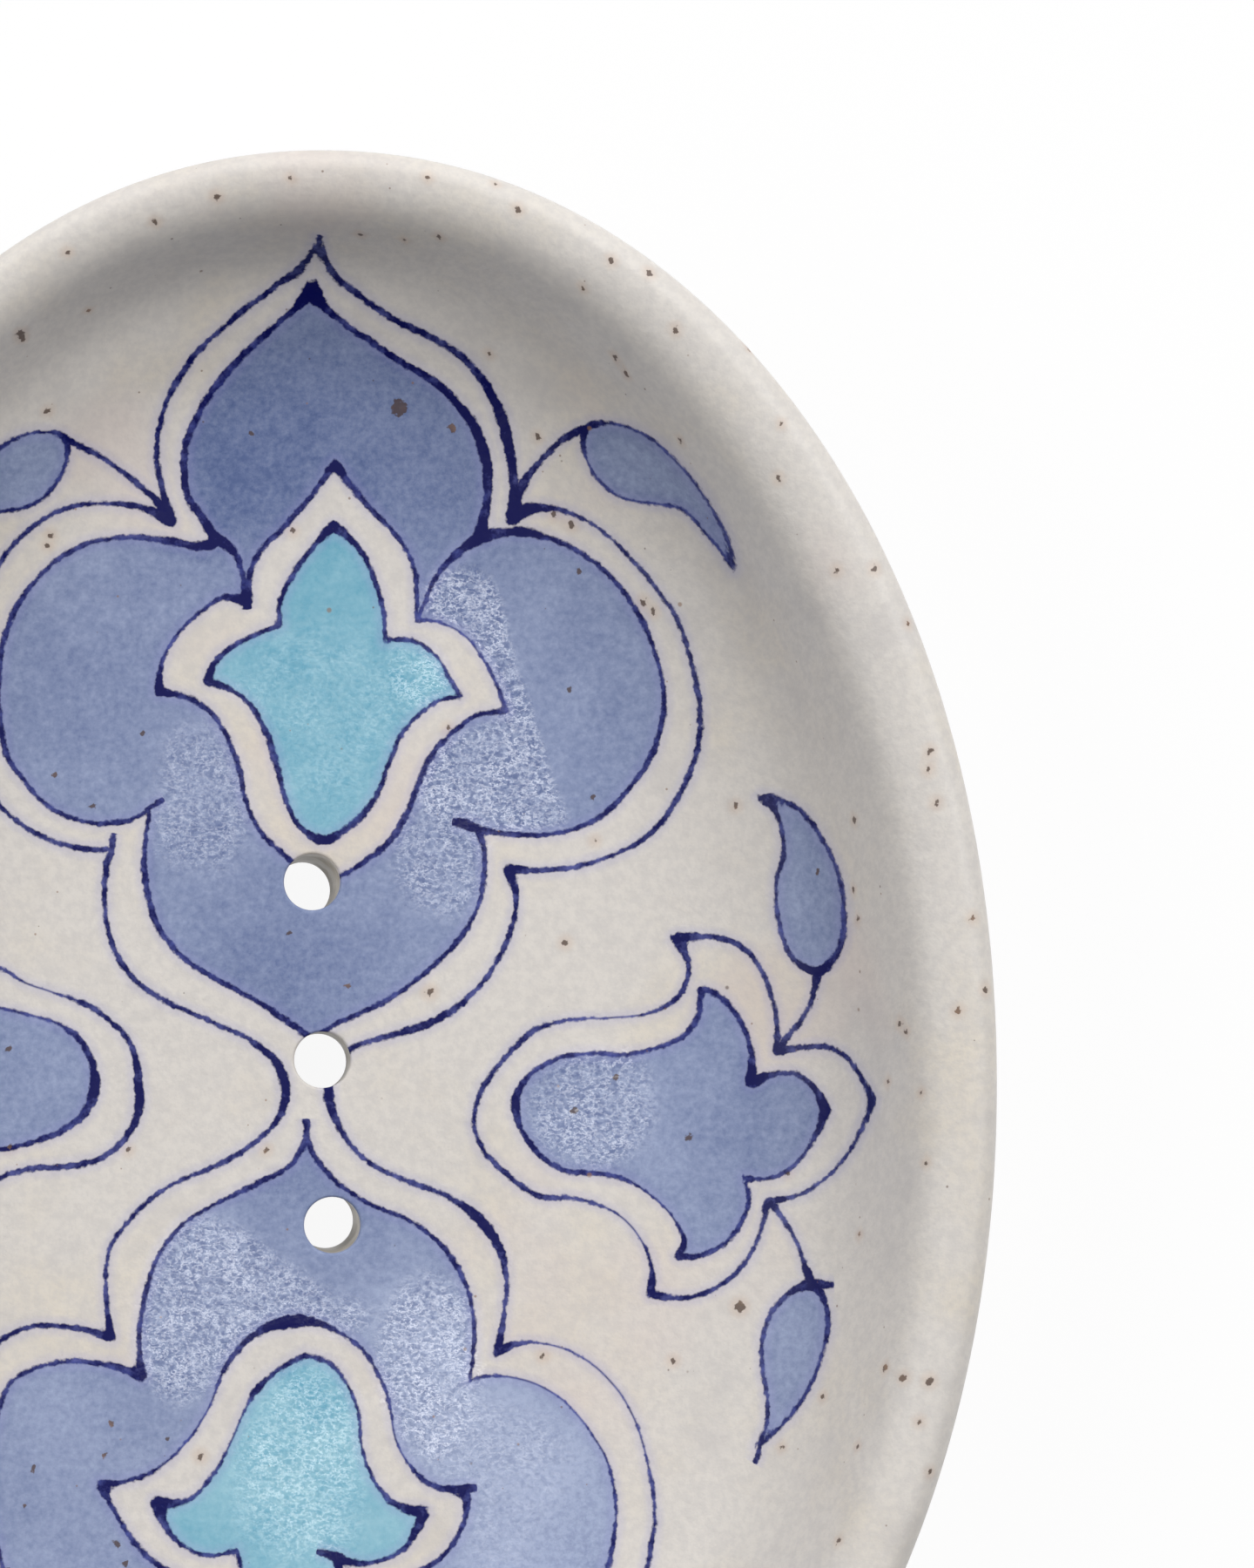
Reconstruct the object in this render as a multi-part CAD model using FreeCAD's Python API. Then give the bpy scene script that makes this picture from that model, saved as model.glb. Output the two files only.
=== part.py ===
"""Oval stoneware soap dish that stands on four stub feet, in millimetres.

The dish is one fired piece with a thick rolled rim, a coved well and a row of drain holes.
The feet are separate lumps of clay, luted to the flat underside of the dish.
The origin is on the surface that the dish stands on, under its middle. +Y runs along the dish, +Z up.
"""

import FreeCAD
import Part
import math
import os

# Outline, seen from above
dish_length = 140.0
dish_width = 101.3
outline_fullness = 2.06  # 2 is an ellipse, more is fuller at the corners
outline_points = 48

# Heights
dish_height = 25.0
foot_height = 4.5
floor_thickness = 6.0

# Wall, from the rim inwards to the floor
rim_outer_radius = 1.8
rim_inner_radius = 5.0
inner_wall_slope = 60.0  # degrees above the floor
cove_radius = 13.0
floor_slope = 5.0  # degrees, where the cove runs out into the floor
floor_radius = 120.0

# Wall, from the rim outwards and down to the underside
outer_wall_slope = 54.0  # degrees above the underside
base_corner_radius = 6.0

# Outlines that the skin of the dish passes through, along each round stretch of the wall
corner_steps = 4
rim_steps = 5
cove_steps = 5
floor_steps = 3

# Drain holes, in a row along the dish that was pricked by eye
drain_count = 3
drain_diameter = 4.1
drain_pitch = 13.15
drain_lip_radius = 0.4
drain_row_across = -0.3  # middle of the row from the middle of the dish
drain_row_along = 1.7
drain_row_lean = 3.8  # degrees from +Y towards -X

# Stub feet
foot_top_diameter = 14.0
foot_bottom_diameter = 11.6
foot_edge_radius = 1.2
foot_margin = 0.6  # from a foot's top edge to the edge of the flat underside
foot_bearing = 47.0  # degrees from +X, where the feet stand round the underside

# How far a cutter runs past what it cuts
overrun = 1.0

half_width = dish_width / 2
half_length = dish_length / 2
underside_height = foot_height
floor_height = underside_height + floor_thickness


def cosine(degrees):
    return math.cos(math.radians(degrees))


def sine(degrees):
    return math.sin(math.radians(degrees))


def arc(centre, radius, first, last, steps):
    """Points on an arc of the wall's section, both ends included, as (inset, height)."""
    angles = [first + (last - first) * step / steps for step in range(steps + 1)]
    return [(centre[0] + radius * cosine(angle), centre[1] + radius * sine(angle)) for angle in angles]


def wall_stretches():
    """The skin of the dish from the underside's edge to the flat of the floor, as lists of (inset, height).

    An inset is measured from the dish's outline. The stretches are the base corner, outer wall, tight outer and
    wide inner side of the rim roll, inner wall, cove and floor, each tangent to the next.
    """
    crest_inset = rim_outer_radius
    rim_outer_centre = (crest_inset, dish_height - rim_outer_radius)
    rim_inner_centre = (crest_inset, dish_height - rim_inner_radius)
    rim_outer = arc(rim_outer_centre, rim_outer_radius, 270 - outer_wall_slope, 90, rim_steps)
    rim_inner = arc(rim_inner_centre, rim_inner_radius, 90, 90 - inner_wall_slope, rim_steps)

    corner_rise = base_corner_radius * (1 - cosine(outer_wall_slope))
    outer_drop = rim_outer[0][1] - underside_height - corner_rise
    outer_reach = outer_drop * cosine(outer_wall_slope) / sine(outer_wall_slope)
    corner_inset = rim_outer[0][0] + outer_reach + base_corner_radius * sine(outer_wall_slope)
    corner_centre = (corner_inset, underside_height + base_corner_radius)
    corner = arc(corner_centre, base_corner_radius, 270, 270 - outer_wall_slope, corner_steps)

    floor_rise = floor_radius * (1 - cosine(floor_slope))
    cove_rise = cove_radius * (cosine(floor_slope) - cosine(inner_wall_slope))
    inner_drop = rim_inner[-1][1] - floor_height - floor_rise - cove_rise
    inner_reach = inner_drop * cosine(inner_wall_slope) / sine(inner_wall_slope)
    cove_start = (rim_inner[-1][0] + inner_reach, rim_inner[-1][1] - inner_drop)
    cove_centre = (
        cove_start[0] + cove_radius * sine(inner_wall_slope),
        cove_start[1] + cove_radius * cosine(inner_wall_slope),
    )
    cove = arc(cove_centre, cove_radius, 270 - inner_wall_slope, 270 - floor_slope, cove_steps)
    floor_centre = (cove[-1][0] + floor_radius * sine(floor_slope), floor_height + floor_radius)
    floor = arc(floor_centre, floor_radius, 270 - floor_slope, 270, floor_steps)

    outer_wall = [corner[-1], rim_outer[0]]
    inner_wall = [rim_inner[-1], cove[0]]
    return [corner, outer_wall, rim_outer, rim_inner, inner_wall, cove, floor]


def outline_at(inset, height):
    """A closed smooth wire: the dish's outline drawn in by an inset, at a height."""
    power = 2 / outline_fullness
    points = []
    for step in range(outline_points):
        bearing = 360 * step / outline_points
        across = math.copysign(abs(cosine(bearing)) ** power, cosine(bearing))
        along = math.copysign(abs(sine(bearing)) ** power, sine(bearing))
        points.append(FreeCAD.Vector((half_width - inset) * across, (half_length - inset) * along, height))
    curve = Part.BSplineCurve()
    curve.interpolate(Points=points, PeriodicFlag=True)
    return Part.Wire(curve.toShape())


def drain_places():
    """Middles of the drain holes, as (across, along)."""
    places = []
    for hole in range(drain_count):
        reach = drain_pitch * (hole - (drain_count - 1) / 2)
        across = drain_row_across - reach * sine(drain_row_lean)
        along = drain_row_along + reach * cosine(drain_row_lean)
        places.append((across, along))
    return places


def is_drain_edge(edge):
    """True for a round edge where a drain hole meets the floor or the underside."""
    return isinstance(edge.Curve, Part.Circle) and math.isclose(edge.Curve.Radius, drain_diameter / 2)


def make_dish_body():
    """The fired dish: a skin of tangent stretches between two flats, pierced by drain holes with soft lips."""
    stretches = wall_stretches()
    underside = Part.Face(outline_at(*stretches[0][0]))
    floor_flat = Part.Face(outline_at(*stretches[-1][-1]))
    faces = [underside, floor_flat]
    for stretch in stretches:
        faces += Part.makeLoft([outline_at(inset, height) for inset, height in stretch]).Faces
    skin = Part.makeCompound(faces)
    skin.sewShape()
    body = Part.Solid(skin.Shells[0])
    cutter_base = underside_height - overrun
    cutter_length = floor_thickness + 2 * overrun
    for across, along in drain_places():
        cutter = Part.makeCylinder(drain_diameter / 2, cutter_length, FreeCAD.Vector(across, along, cutter_base))
        body = body.cut(cutter)
    lips = [edge for edge in body.Edges if is_drain_edge(edge)]
    return body.makeFillet(drain_lip_radius, lips).Solids[0]


def foot_places():
    """Middles of the feet, set in from the edge of the flat underside, as (across, along) by name."""
    underside_inset = wall_stretches()[0][0][0]
    set_in = underside_inset + foot_margin + foot_top_diameter / 2
    across = (half_width - set_in) * cosine(foot_bearing)
    along = (half_length - set_in) * sine(foot_bearing)
    return {
        "foot_front_left": (-across, -along),
        "foot_front_right": (across, -along),
        "foot_back_left": (-across, along),
        "foot_back_right": (across, along),
    }


def make_foot(across, along):
    """A stub foot that tapers downwards, with a softened edge round its ground face."""
    ground = FreeCAD.Vector(across, along, 0)
    foot = Part.makeCone(foot_bottom_diameter / 2, foot_top_diameter / 2, foot_height, ground)
    ground_edges = [edge for edge in foot.Edges if edge.BoundBox.ZMax < foot_height / 2]
    return foot.makeFillet(foot_edge_radius, ground_edges).Solids[0]


def main():
    os.makedirs("parts", exist_ok=True)
    pieces = {"dish_body": make_dish_body()}
    for name, (across, along) in foot_places().items():
        pieces[name] = make_foot(across, along)
    for name, solid in pieces.items():
        box = solid.optimalBoundingBox(False)
        size = f"{box.XLength:.2f} x {box.YLength:.2f} x {box.ZLength:.2f} mm"
        print(f"{name}: {size}, {solid.Volume:.0f} mm3, valid {solid.isValid()}")
        solid.exportStep(f"parts/{name}.step")


main()
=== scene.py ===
"""The painted stoneware soap dish: its glazed body, its luted feet, the stage, the light and the camera.

Lengths are in millimetres and become metres where a mesh, a lamp or the camera is made.
A pixel is one of the photograph's 1440 by 1800, and the brush strokes are given in those pixels.
"""

import bpy
import math
import numpy as np
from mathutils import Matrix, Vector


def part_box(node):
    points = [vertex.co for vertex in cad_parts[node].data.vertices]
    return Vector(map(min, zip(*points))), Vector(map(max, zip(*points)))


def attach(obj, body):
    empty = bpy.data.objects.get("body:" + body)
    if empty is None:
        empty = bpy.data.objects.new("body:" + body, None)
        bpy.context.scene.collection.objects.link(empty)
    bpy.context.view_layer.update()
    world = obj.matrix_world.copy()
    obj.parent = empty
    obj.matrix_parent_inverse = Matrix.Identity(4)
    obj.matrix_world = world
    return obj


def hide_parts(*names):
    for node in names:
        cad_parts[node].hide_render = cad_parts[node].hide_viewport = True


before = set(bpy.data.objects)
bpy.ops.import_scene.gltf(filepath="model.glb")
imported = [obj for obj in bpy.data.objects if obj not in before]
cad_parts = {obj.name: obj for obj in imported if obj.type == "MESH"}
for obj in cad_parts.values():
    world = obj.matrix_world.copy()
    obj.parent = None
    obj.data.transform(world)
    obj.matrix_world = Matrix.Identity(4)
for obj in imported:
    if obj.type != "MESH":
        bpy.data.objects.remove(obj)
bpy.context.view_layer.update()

METRE = 1000.0  # in millimetres

# Sizes of the fired dish, the outer ones from the frame
body_low, body_high = (np.array(corner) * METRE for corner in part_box("dish_body"))
half_width, half_length, dish_height = body_high
underside_height = body_low[2]
outline_fullness = 2.06  # 2 is an ellipse, more is fuller at the corners
floor_thickness = 6.0
floor_height = underside_height + floor_thickness

# Section of the wall: rolled rim, slanted inner wall, cove, gently dished floor, slanted outer wall.
# Slopes are in degrees.
rim_outer_radius = 1.8
rim_inner_radius = 5.0
inner_wall_slope = 60.0
cove_radius = 13.0
floor_slope = 5.0
floor_radius = 120.0
outer_wall_slope = 54.0
base_corner_radius = 6.0

# How broad the rolled rim is against its radius: (bearing in degrees from +X, share)
RIM_BREADTHS = [
    (-180, 0.95), (-25, 0.95), (0, 1.04), (20, 1.1), (40, 1.17), (60, 1.05), (75, 0.9), (95, 0.83),
    (120, 0.84), (150, 0.93),
]
rim_breadth_reach = (6.5, 13.0)  # inset where the breadth starts to fade, and where it is gone

# Drain holes as (across, along), and how far each one's lower end is slanted away from its upper end
drain_places = np.array([(-1.16, 15.00), (-0.40, 1.40), (0.37, -11.25)])
drain_slants = np.array([(-1.05, -0.75), (-0.55, -0.35), (-0.80, 0.10)])
drain_radius = 2.15
drain_lip_radius = 0.22

# What the hand left in the clay
floor_wave_height = 0.10
rim_dip = 0.30

# Stub feet
foot_edge_radius = 1.2  # round the ground face
foot_taper = 1.2  # from the top's radius to the side's at the ground
foot_neck = 0.55  # how far inside the top's radius the plain side ends
foot_smear = 0.80  # how far the smear of clay flares out there
foot_dent = 0.12  # how deep a finger pressed the side
foot_dent_turns = 4  # waves of the dents round a foot
foot_dent_climb = 1.7  # radians of their wave for each millimetre up
foot_dent_margin = 0.3  # from the ground and the top, where the side is plain
FOOT_WOBBLES = [(2, 0.012), (3, 0.009), (7, 0.005)]  # waves round a foot, and their share of its radius

# Mesh of the body
block_cells = (112, 164)  # across and along, in the middle of the floor and of the underside
block_half_size = (22.0, 32.2)
block_roundness = 0.25  # 0 is a rectangle, 0.5 is an oval
well_rows = 56
rim_rows = 16
outer_wall_rows = 7
base_corner_rows = 5
underside_rows = 6
hole_cells = 6  # from a hole's middle to its edge
hole_ease_cells = 12  # from a hole's middle to where the block is plain again
lip_rows = 5
hole_wall_rows = 6

# Mesh of a foot: columns round it, and points along each stretch of its profile
foot_columns = 72
foot_ground_points = 12
foot_edge_points = 9
foot_side_points = 12
foot_lid_points = 6

# Steps of the sums
section_points = 200  # on each arc of the well's section
halvings = 36  # that close in on an inset
deepest_inset = 0.99 * half_width  # short of the middle, where the oval closes up
ray_rounds = 4  # that close in on where a view ray meets the dish
FAR = 1e6  # farther than anything on the dish
OUTSIDE = -9.0  # painted distance where nothing is painted
outline_margin = 3.0  # from an outline, up to which its distance is worked out
stroke_reach = 1.2  # beside a single stroke, up to which it may show

# Camera, straight above the photograph's middle
photo_width = 1440
photo_height = 1800
camera_lens = 200.0
camera_sensor = 36.0
camera_place = np.array([22.894, 22.475, 676.4])
pixels_per_tangent = camera_lens / camera_sensor * photo_height

# Light: soft lamps round the dish, and a window overhead.
# A softbox is (name, bearing from +X in degrees, elevation in degrees, power in watts).
SOFTBOXES = [
    ("back_softbox", 90, 24, 6.2),
    ("back_left_softbox", 150, 24, 2.2),
    ("right_softbox", 35, 48, 12.6),
    ("left_softbox", 180, 48, 6.9),
]
softbox_distance = 1200
softbox_size = (1300, 800)
softbox_target = (0, 0, 15)
window_place = (-56, -64, 2010)
window_size = (272, 416)
window_power = 1.9
world_strength = 0.02

# Floor of the stage
stage_half_size = 1500.0
stage_roughness = 0.9
stage_glow = 0.93  # how far it looks white to the camera, the rest being plain paint that takes the shadow

# Painted pattern, in pixels. The strokes of an outline meet at its corners.
# The band round both medallions, clockwise from the top tip, with the part below the picture drawn to match
MEDALLION_BAND = [
    [(367, 276), (381, 311), (414, 340), (451, 366), (489, 385), (522, 403), (552, 433), (572, 470),
     (585, 515), (591, 556), (587, 598)],
    [(587, 598), (605, 585), (637, 584), (674, 598), (712, 628), (745, 665), (773, 703), (794, 761),
     (804, 815), (800, 865), (780, 912), (748, 956), (698, 984), (640, 998), (583, 998)],
    [(583, 998), (593, 1035), (584, 1075), (550, 1133), (503, 1170), (453, 1188), (403, 1204),
     (382, 1226), (377, 1253), (393, 1300), (425, 1335), (470, 1357), (517, 1375), (556, 1406),
     (578, 1446), (580, 1498), (570, 1553)],
    [(570, 1553), (598, 1542), (638, 1545), (674, 1562), (705, 1590), (730, 1632), (743, 1677),
     (752, 1735), (745, 1789), (728, 1850), (697, 1898), (650, 1930), (600, 1940), (566, 1932)],
    [(566, 1932), (574, 1985), (562, 2045), (530, 2095), (480, 2128), (420, 2160), (372, 2206)],
    [(372, 2206), (330, 2165), (270, 2130), (215, 2092), (180, 2040), (166, 1985), (170, 1930)],
    [(170, 1930), (110, 1935), (50, 1915), (0, 1875), (-38, 1810), (-52, 1740), (-50, 1660),
     (-30, 1590), (0, 1540), (31, 1524), (67, 1522), (127, 1535)],
    [(127, 1535), (122, 1490), (126, 1433), (152, 1397), (197, 1360), (240, 1342), (297, 1308),
     (323, 1277), (328, 1252), (318, 1221), (293, 1198), (240, 1172), (190, 1149), (153, 1123),
     (128, 1083), (120, 1037), (121, 1003), (128, 975)],
    [(128, 975), (92, 974), (42, 957), (0, 925), (-28, 868), (-40, 790), (-32, 712), (0, 646),
     (34, 607), (69, 586), (103, 578), (137, 579), (171, 585), (197, 599)],
    [(197, 599), (186, 562), (180, 525), (182, 494), (195, 453), (221, 411), (261, 372), (309, 334),
     (350, 302), (367, 276)],
]
UPPER_FIELD = [
    [(359, 327), (370, 350), (385, 364), (422, 390), (455, 412), (492, 433), (522, 459), (546, 493),
     (559, 533), (559, 578), (548, 619)],
    [(548, 619), (585, 611), (630, 618), (671, 637), (706, 667), (738, 714), (757, 764), (763, 805),
     (753, 856), (727, 900), (690, 937), (640, 957), (591, 958), (549, 952)],
    [(549, 952), (556, 977), (556, 1005), (543, 1055), (503, 1104), (457, 1140), (410, 1165),
     (373, 1183), (360, 1194)],
    [(360, 1194), (327, 1170), (287, 1145), (240, 1120), (203, 1093), (180, 1060), (167, 1012),
     (166, 977), (172, 930)],
    [(172, 930), (151, 941), (107, 945), (56, 926), (29, 898), (8, 867), (0, 826), (-1, 780), (5, 730),
     (17, 700), (45, 662), (79, 634), (117, 620), (151, 617), (192, 621), (233, 627), (250, 620)],
    [(250, 620), (235, 600), (214, 564), (211, 540), (214, 507), (233, 466), (257, 432), (291, 396),
     (326, 365), (343, 350), (359, 327)],
]
UPPER_CARTOUCHE = [
    [(385, 532), (396, 548), (425, 583), (455, 615), (470, 638), (478, 665), (479, 690), (477, 712)],
    [(477, 712), (503, 714), (535, 731), (555, 757), (570, 785), (581, 817)],
    [(581, 817), (549, 820), (521, 840), (499, 862), (482, 896), (468, 932), (446, 968), (420, 988),
     (395, 1003), (365, 1012)],
    [(365, 1012), (333, 987), (300, 955), (283, 921), (274, 879), (260, 845), (241, 817), (213, 800),
     (183, 794)],
    [(183, 794), (186, 761), (204, 728), (232, 702), (260, 685), (284, 692)],
    [(284, 692), (286, 665), (298, 634), (329, 602), (360, 566), (385, 532)],
]
UPPER_BUD = [
    [(383, 603), (411, 628), (429, 663), (440, 700), (442, 736)],
    [(442, 736), (472, 735), (500, 752), (517, 780), (528, 800)],
    [(528, 800), (505, 804), (480, 822), (462, 842), (447, 875), (432, 915), (400, 950), (372, 965),
     (345, 950), (329, 921), (319, 882), (305, 840), (288, 810), (266, 792), (238, 782)],
    [(238, 782), (245, 763), (262, 746), (291, 730), (321, 718)],
    [(321, 718), (322, 690), (332, 668), (356, 632), (383, 603)],
]
LOWER_FIELD = [
    [(352, 1306), (363, 1330), (390, 1360), (427, 1383), (470, 1401), (500, 1423), (530, 1464),
     (543, 1505), (544, 1548), (538, 1588)],
    [(538, 1585), (558, 1580), (601, 1584), (638, 1601), (674, 1638), (698, 1680), (707, 1724),
     (704, 1772), (692, 1815), (668, 1852), (630, 1880), (585, 1890), (535, 1886)],
    [(535, 1886), (538, 1940), (526, 1995), (495, 2045), (450, 2085), (405, 2120), (370, 2162)],
    [(370, 2162), (335, 2122), (285, 2085), (238, 2045), (212, 1992), (205, 1940), (212, 1886)],
    [(212, 1886), (150, 1895), (90, 1888), (42, 1862), (10, 1815), (-8, 1755), (-12, 1690), (-4, 1630),
     (11, 1589), (42, 1570), (92, 1563), (129, 1568), (163, 1580)],
    [(163, 1580), (160, 1531), (168, 1480), (185, 1436), (207, 1408), (244, 1384), (297, 1358),
     (333, 1338), (352, 1306)],
]
LOWER_CARTOUCHE = [
    [(333, 1517), (350, 1516), (386, 1528), (414, 1547), (435, 1579), (447, 1612), (454, 1652),
     (470, 1682), (498, 1706), (534, 1710)],
    [(534, 1710), (535, 1735), (524, 1766), (500, 1793), (470, 1808), (452, 1812)],
    [(452, 1812), (446, 1850), (420, 1900), (388, 1945), (362, 1990)],
    [(362, 1990), (335, 1940), (292, 1890), (265, 1850), (254, 1812)],
    [(254, 1812), (215, 1810), (185, 1799), (160, 1778), (139, 1747), (115, 1704)],
    [(115, 1704), (146, 1700), (182, 1685), (213, 1657), (242, 1612), (256, 1575), (280, 1542),
     (307, 1524), (333, 1517)],
]
LOWER_BUD = [
    [(350, 1557), (378, 1565), (400, 1592), (412, 1625), (416, 1665), (430, 1700), (453, 1727),
     (488, 1735)],
    [(488, 1735), (478, 1757), (462, 1780), (435, 1792), (405, 1794), (386, 1788)],
    [(386, 1788), (394, 1830), (388, 1862), (362, 1915)],
    [(362, 1915), (318, 1870), (285, 1825), (272, 1780)],
    [(272, 1780), (241, 1786), (208, 1773), (190, 1752), (179, 1724)],
    [(179, 1724), (213, 1723), (242, 1697), (262, 1663), (278, 1625), (295, 1595), (320, 1572),
     (350, 1557)],
]
TULIP_BAND_PETALS = [
    [(776, 1077), (797, 1075), (822, 1077), (846, 1084), (863, 1097), (875, 1114), (888, 1151),
     (893, 1206)],
    [(893, 1206), (925, 1203), (950, 1202), (971, 1213), (985, 1231), (1002, 1262)],
    [(1002, 1262), (996, 1281), (978, 1318), (943, 1357), (915, 1373), (882, 1379)],
    [(882, 1379), (876, 1404), (861, 1442), (830, 1474), (794, 1489), (747, 1486)],
]
TULIP_BAND_NOSE = [
    (747, 1486), (749, 1460), (740, 1430), (711, 1395), (669, 1377), (617, 1372), (582, 1348),
    (553, 1317), (544, 1286), (549, 1262), (573, 1223), (593, 1200), (617, 1181), (648, 1172),
    (703, 1168), (749, 1162), (780, 1144), (791, 1111), (776, 1077),
]
TULIP_FIELD_PETALS = [
    [(803, 1134), (822, 1141), (848, 1168), (861, 1200), (863, 1243)],
    [(863, 1243), (898, 1232), (916, 1234), (932, 1246), (949, 1275)],
    [(949, 1275), (938, 1301), (912, 1338), (884, 1353), (854, 1351)],
    [(854, 1351), (860, 1378), (851, 1404), (830, 1429), (804, 1441), (778, 1443)],
]
TULIP_FIELD_NOSE = [
    (778, 1443), (786, 1426), (775, 1401), (747, 1372), (718, 1354), (690, 1347), (648, 1344),
    (627, 1332), (605, 1307), (593, 1283), (593, 1258), (606, 1236), (638, 1216), (680, 1209),
    (715, 1211), (748, 1204), (783, 1191), (800, 1171), (803, 1134),
]
# The far tulip's nose, which faces the other way, with its leaning far end drawn to match
FAR_TULIP_BAND_NOSE = [
    (-43, 1434), (-46, 1410), (-36, 1378), (0, 1352), (32, 1342), (80, 1339), (116, 1329), (144, 1306),
    (159, 1276), (159, 1244), (150, 1198), (130, 1175), (104, 1156), (60, 1139), (28, 1128), (0, 1111),
    (-45, 1104), (-76, 1085), (-88, 1053), (-72, 1021),
]
FAR_TULIP_FIELD_NOSE = [
    (-74, 1385), (-82, 1368), (-71, 1345), (-36, 1327), (0, 1320), (36, 1312), (66, 1301), (92, 1284),
    (109, 1250), (106, 1220), (90, 1192), (66, 1175), (32, 1165), (0, 1157), (-45, 1149), (-80, 1131),
    (-97, 1112), (-99, 1075),
]
UPPER_LEAF = [
    [(669, 494), (682, 487), (700, 486), (737, 497), (775, 528), (808, 569), (836, 621), (844, 654)],
    [(844, 654), (812, 615), (782, 584), (749, 578), (712, 571), (686, 550), (671, 520), (669, 494)],
]
SIDE_LEAF = [
    [(874, 915), (905, 921), (927, 939), (947, 968), (960, 995), (969, 1040), (967, 1080), (958, 1099),
     (940, 1117)],
    [(940, 1117), (917, 1107), (900, 1080), (892, 1045), (892, 1010), (899, 985), (899, 960),
     (891, 933), (874, 915)],
]
DROP_LEAF = [
    [(931, 1473), (944, 1487), (951, 1514), (946, 1546), (930, 1592), (905, 1629), (869, 1662)],
    [(869, 1662), (880, 1635), (881, 1606), (875, 1565), (880, 1519), (905, 1485), (931, 1473)],
]
UPPER_LEAF_STEM = [(590, 585), (598, 561), (622, 528), (650, 502), (669, 493)]
LEFT_LEAF_STEM = [(78, 506), (120, 527), (154, 552), (185, 581), (195, 597)]
SIDE_LEAF_STEM = [(896, 1201), (908, 1186), (922, 1168), (933, 1146), (938, 1118)]
DROP_LEAF_STEM = [(885, 1380), (902, 1403), (914, 1424), (923, 1448), (931, 1473)]
SINGLE_STROKES = [
    [(250, 619), (267, 631), (279, 662), (284, 699)],
    [(546, 620), (526, 634), (511, 649), (498, 667), (488, 690), (479, 712)],
    [(549, 952), (536, 946), (520, 943)],
    [(165, 934), (176, 925), (188, 918)],
    [(131, 957), (127, 980)],
    [(352, 1285), (352, 1310)],
    [(364, 1781), (376, 1784), (392, 1789)],
    [(520, 1710), (547, 1708)],
    [(931, 1474), (957, 1475)],
    [(872, 1656), (871, 1668), (866, 1679)],
    [(367, 270), (366, 284)],
]

# Where the brush was full or nearly dry: (pixel across, pixel down, how full, reach in mm)
BRUSH_LOADS = [
    (359, 332, 2.2, 1.0), (600, 588, 1.9, 1.2), (190, 595, 1.5, 0.9), (548, 619, 1.7, 1.0),
    (245, 623, 1.6, 1.0), (383, 606, 1.3, 0.8), (384, 536, 1.2, 0.8), (284, 692, 1.3, 0.9),
    (184, 792, 1.4, 0.9), (240, 781, 1.3, 0.9), (370, 964, 1.1, 0.9), (540, 948, 1.4, 0.9),
    (585, 998, 1.3, 0.9), (318, 1235, 1.1, 2.0), (480, 1180, 0.9, 1.6), (379, 1262, 1.0, 1.6),
    (863, 1242, 1.9, 0.9), (592, 1270, 1.4, 1.0), (946, 1274, 1.5, 1.0), (779, 1440, 1.5, 0.9),
    (893, 1206, 1.2, 0.8), (882, 1380, 1.2, 0.8), (777, 1079, 1.5, 0.9), (747, 1482, 1.4, 1.0),
    (940, 1115, 1.7, 0.9), (931, 1472, 1.8, 0.9), (1001, 1262, 1.0, 0.7), (330, 1517, 2.6, 1.5),
    (115, 1704, 1.5, 0.9), (180, 1725, 2.0, 1.1), (294, 1597, 1.0, 0.7), (485, 1735, 1.5, 1.2),
    (388, 1788, 1.5, 1.1), (534, 1712, 1.1, 1.0), (128, 1533, 1.5, 0.8), (164, 1580, 1.3, 0.9),
    (575, 1548, 1.2, 1.2), (545, 1395, 1.2, 1.6), (874, 916, 1.4, 0.8), (555, 480, 0.8, 3.5),
    (585, 520, 0.8, 3.0), (220, 560, 0.7, 2.5), (159, 1262, 0.9, 2.2), (108, 1245, 0.9, 1.6),
    (575, 1430, 0.8, 2.0), (669, 494, 1.1, 0.8), (78, 506, 1.1, 0.8), (690, 1168, -0.9, 2.6),
    (725, 1408, -1.0, 2.6), (530, 735, -1.1, 2.2), (690, 1575, -0.9, 4.5), (610, 1590, -0.9, 2.5),
    (740, 1690, -0.4, 4.0), (40, 1132, -0.9, 2.5), (190, 740, -0.7, 2.4), (730, 500, -0.7, 2.5),
    (950, 1330, -0.3, 3.0), (470, 1400, -0.4, 2.5), (220, 1650, -0.3, 3.0), (660, 985, -0.2, 3.0),
    (455, 640, -0.3, 2.0), (620, 530, -0.6, 2.0), (780, 560, -0.6, 3.5), (40, 500, -0.6, 3.0),
    (905, 1415, -0.6, 2.2), (440, 1640, -0.35, 3.0), (250, 1640, -0.35, 3.0), (60, 1545, -0.2, 3.0),
    (190, 1420, -0.25, 3.0), (530, 1480, -0.3, 3.0), (700, 565, -0.6, 2.5), (820, 620, -0.5, 2.0),
    (930, 1010, -0.3, 4.0), (915, 1560, -0.3, 4.0), (390, 430, 0.25, 9.0), (350, 1650, -0.25, 12.0),
]
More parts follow.
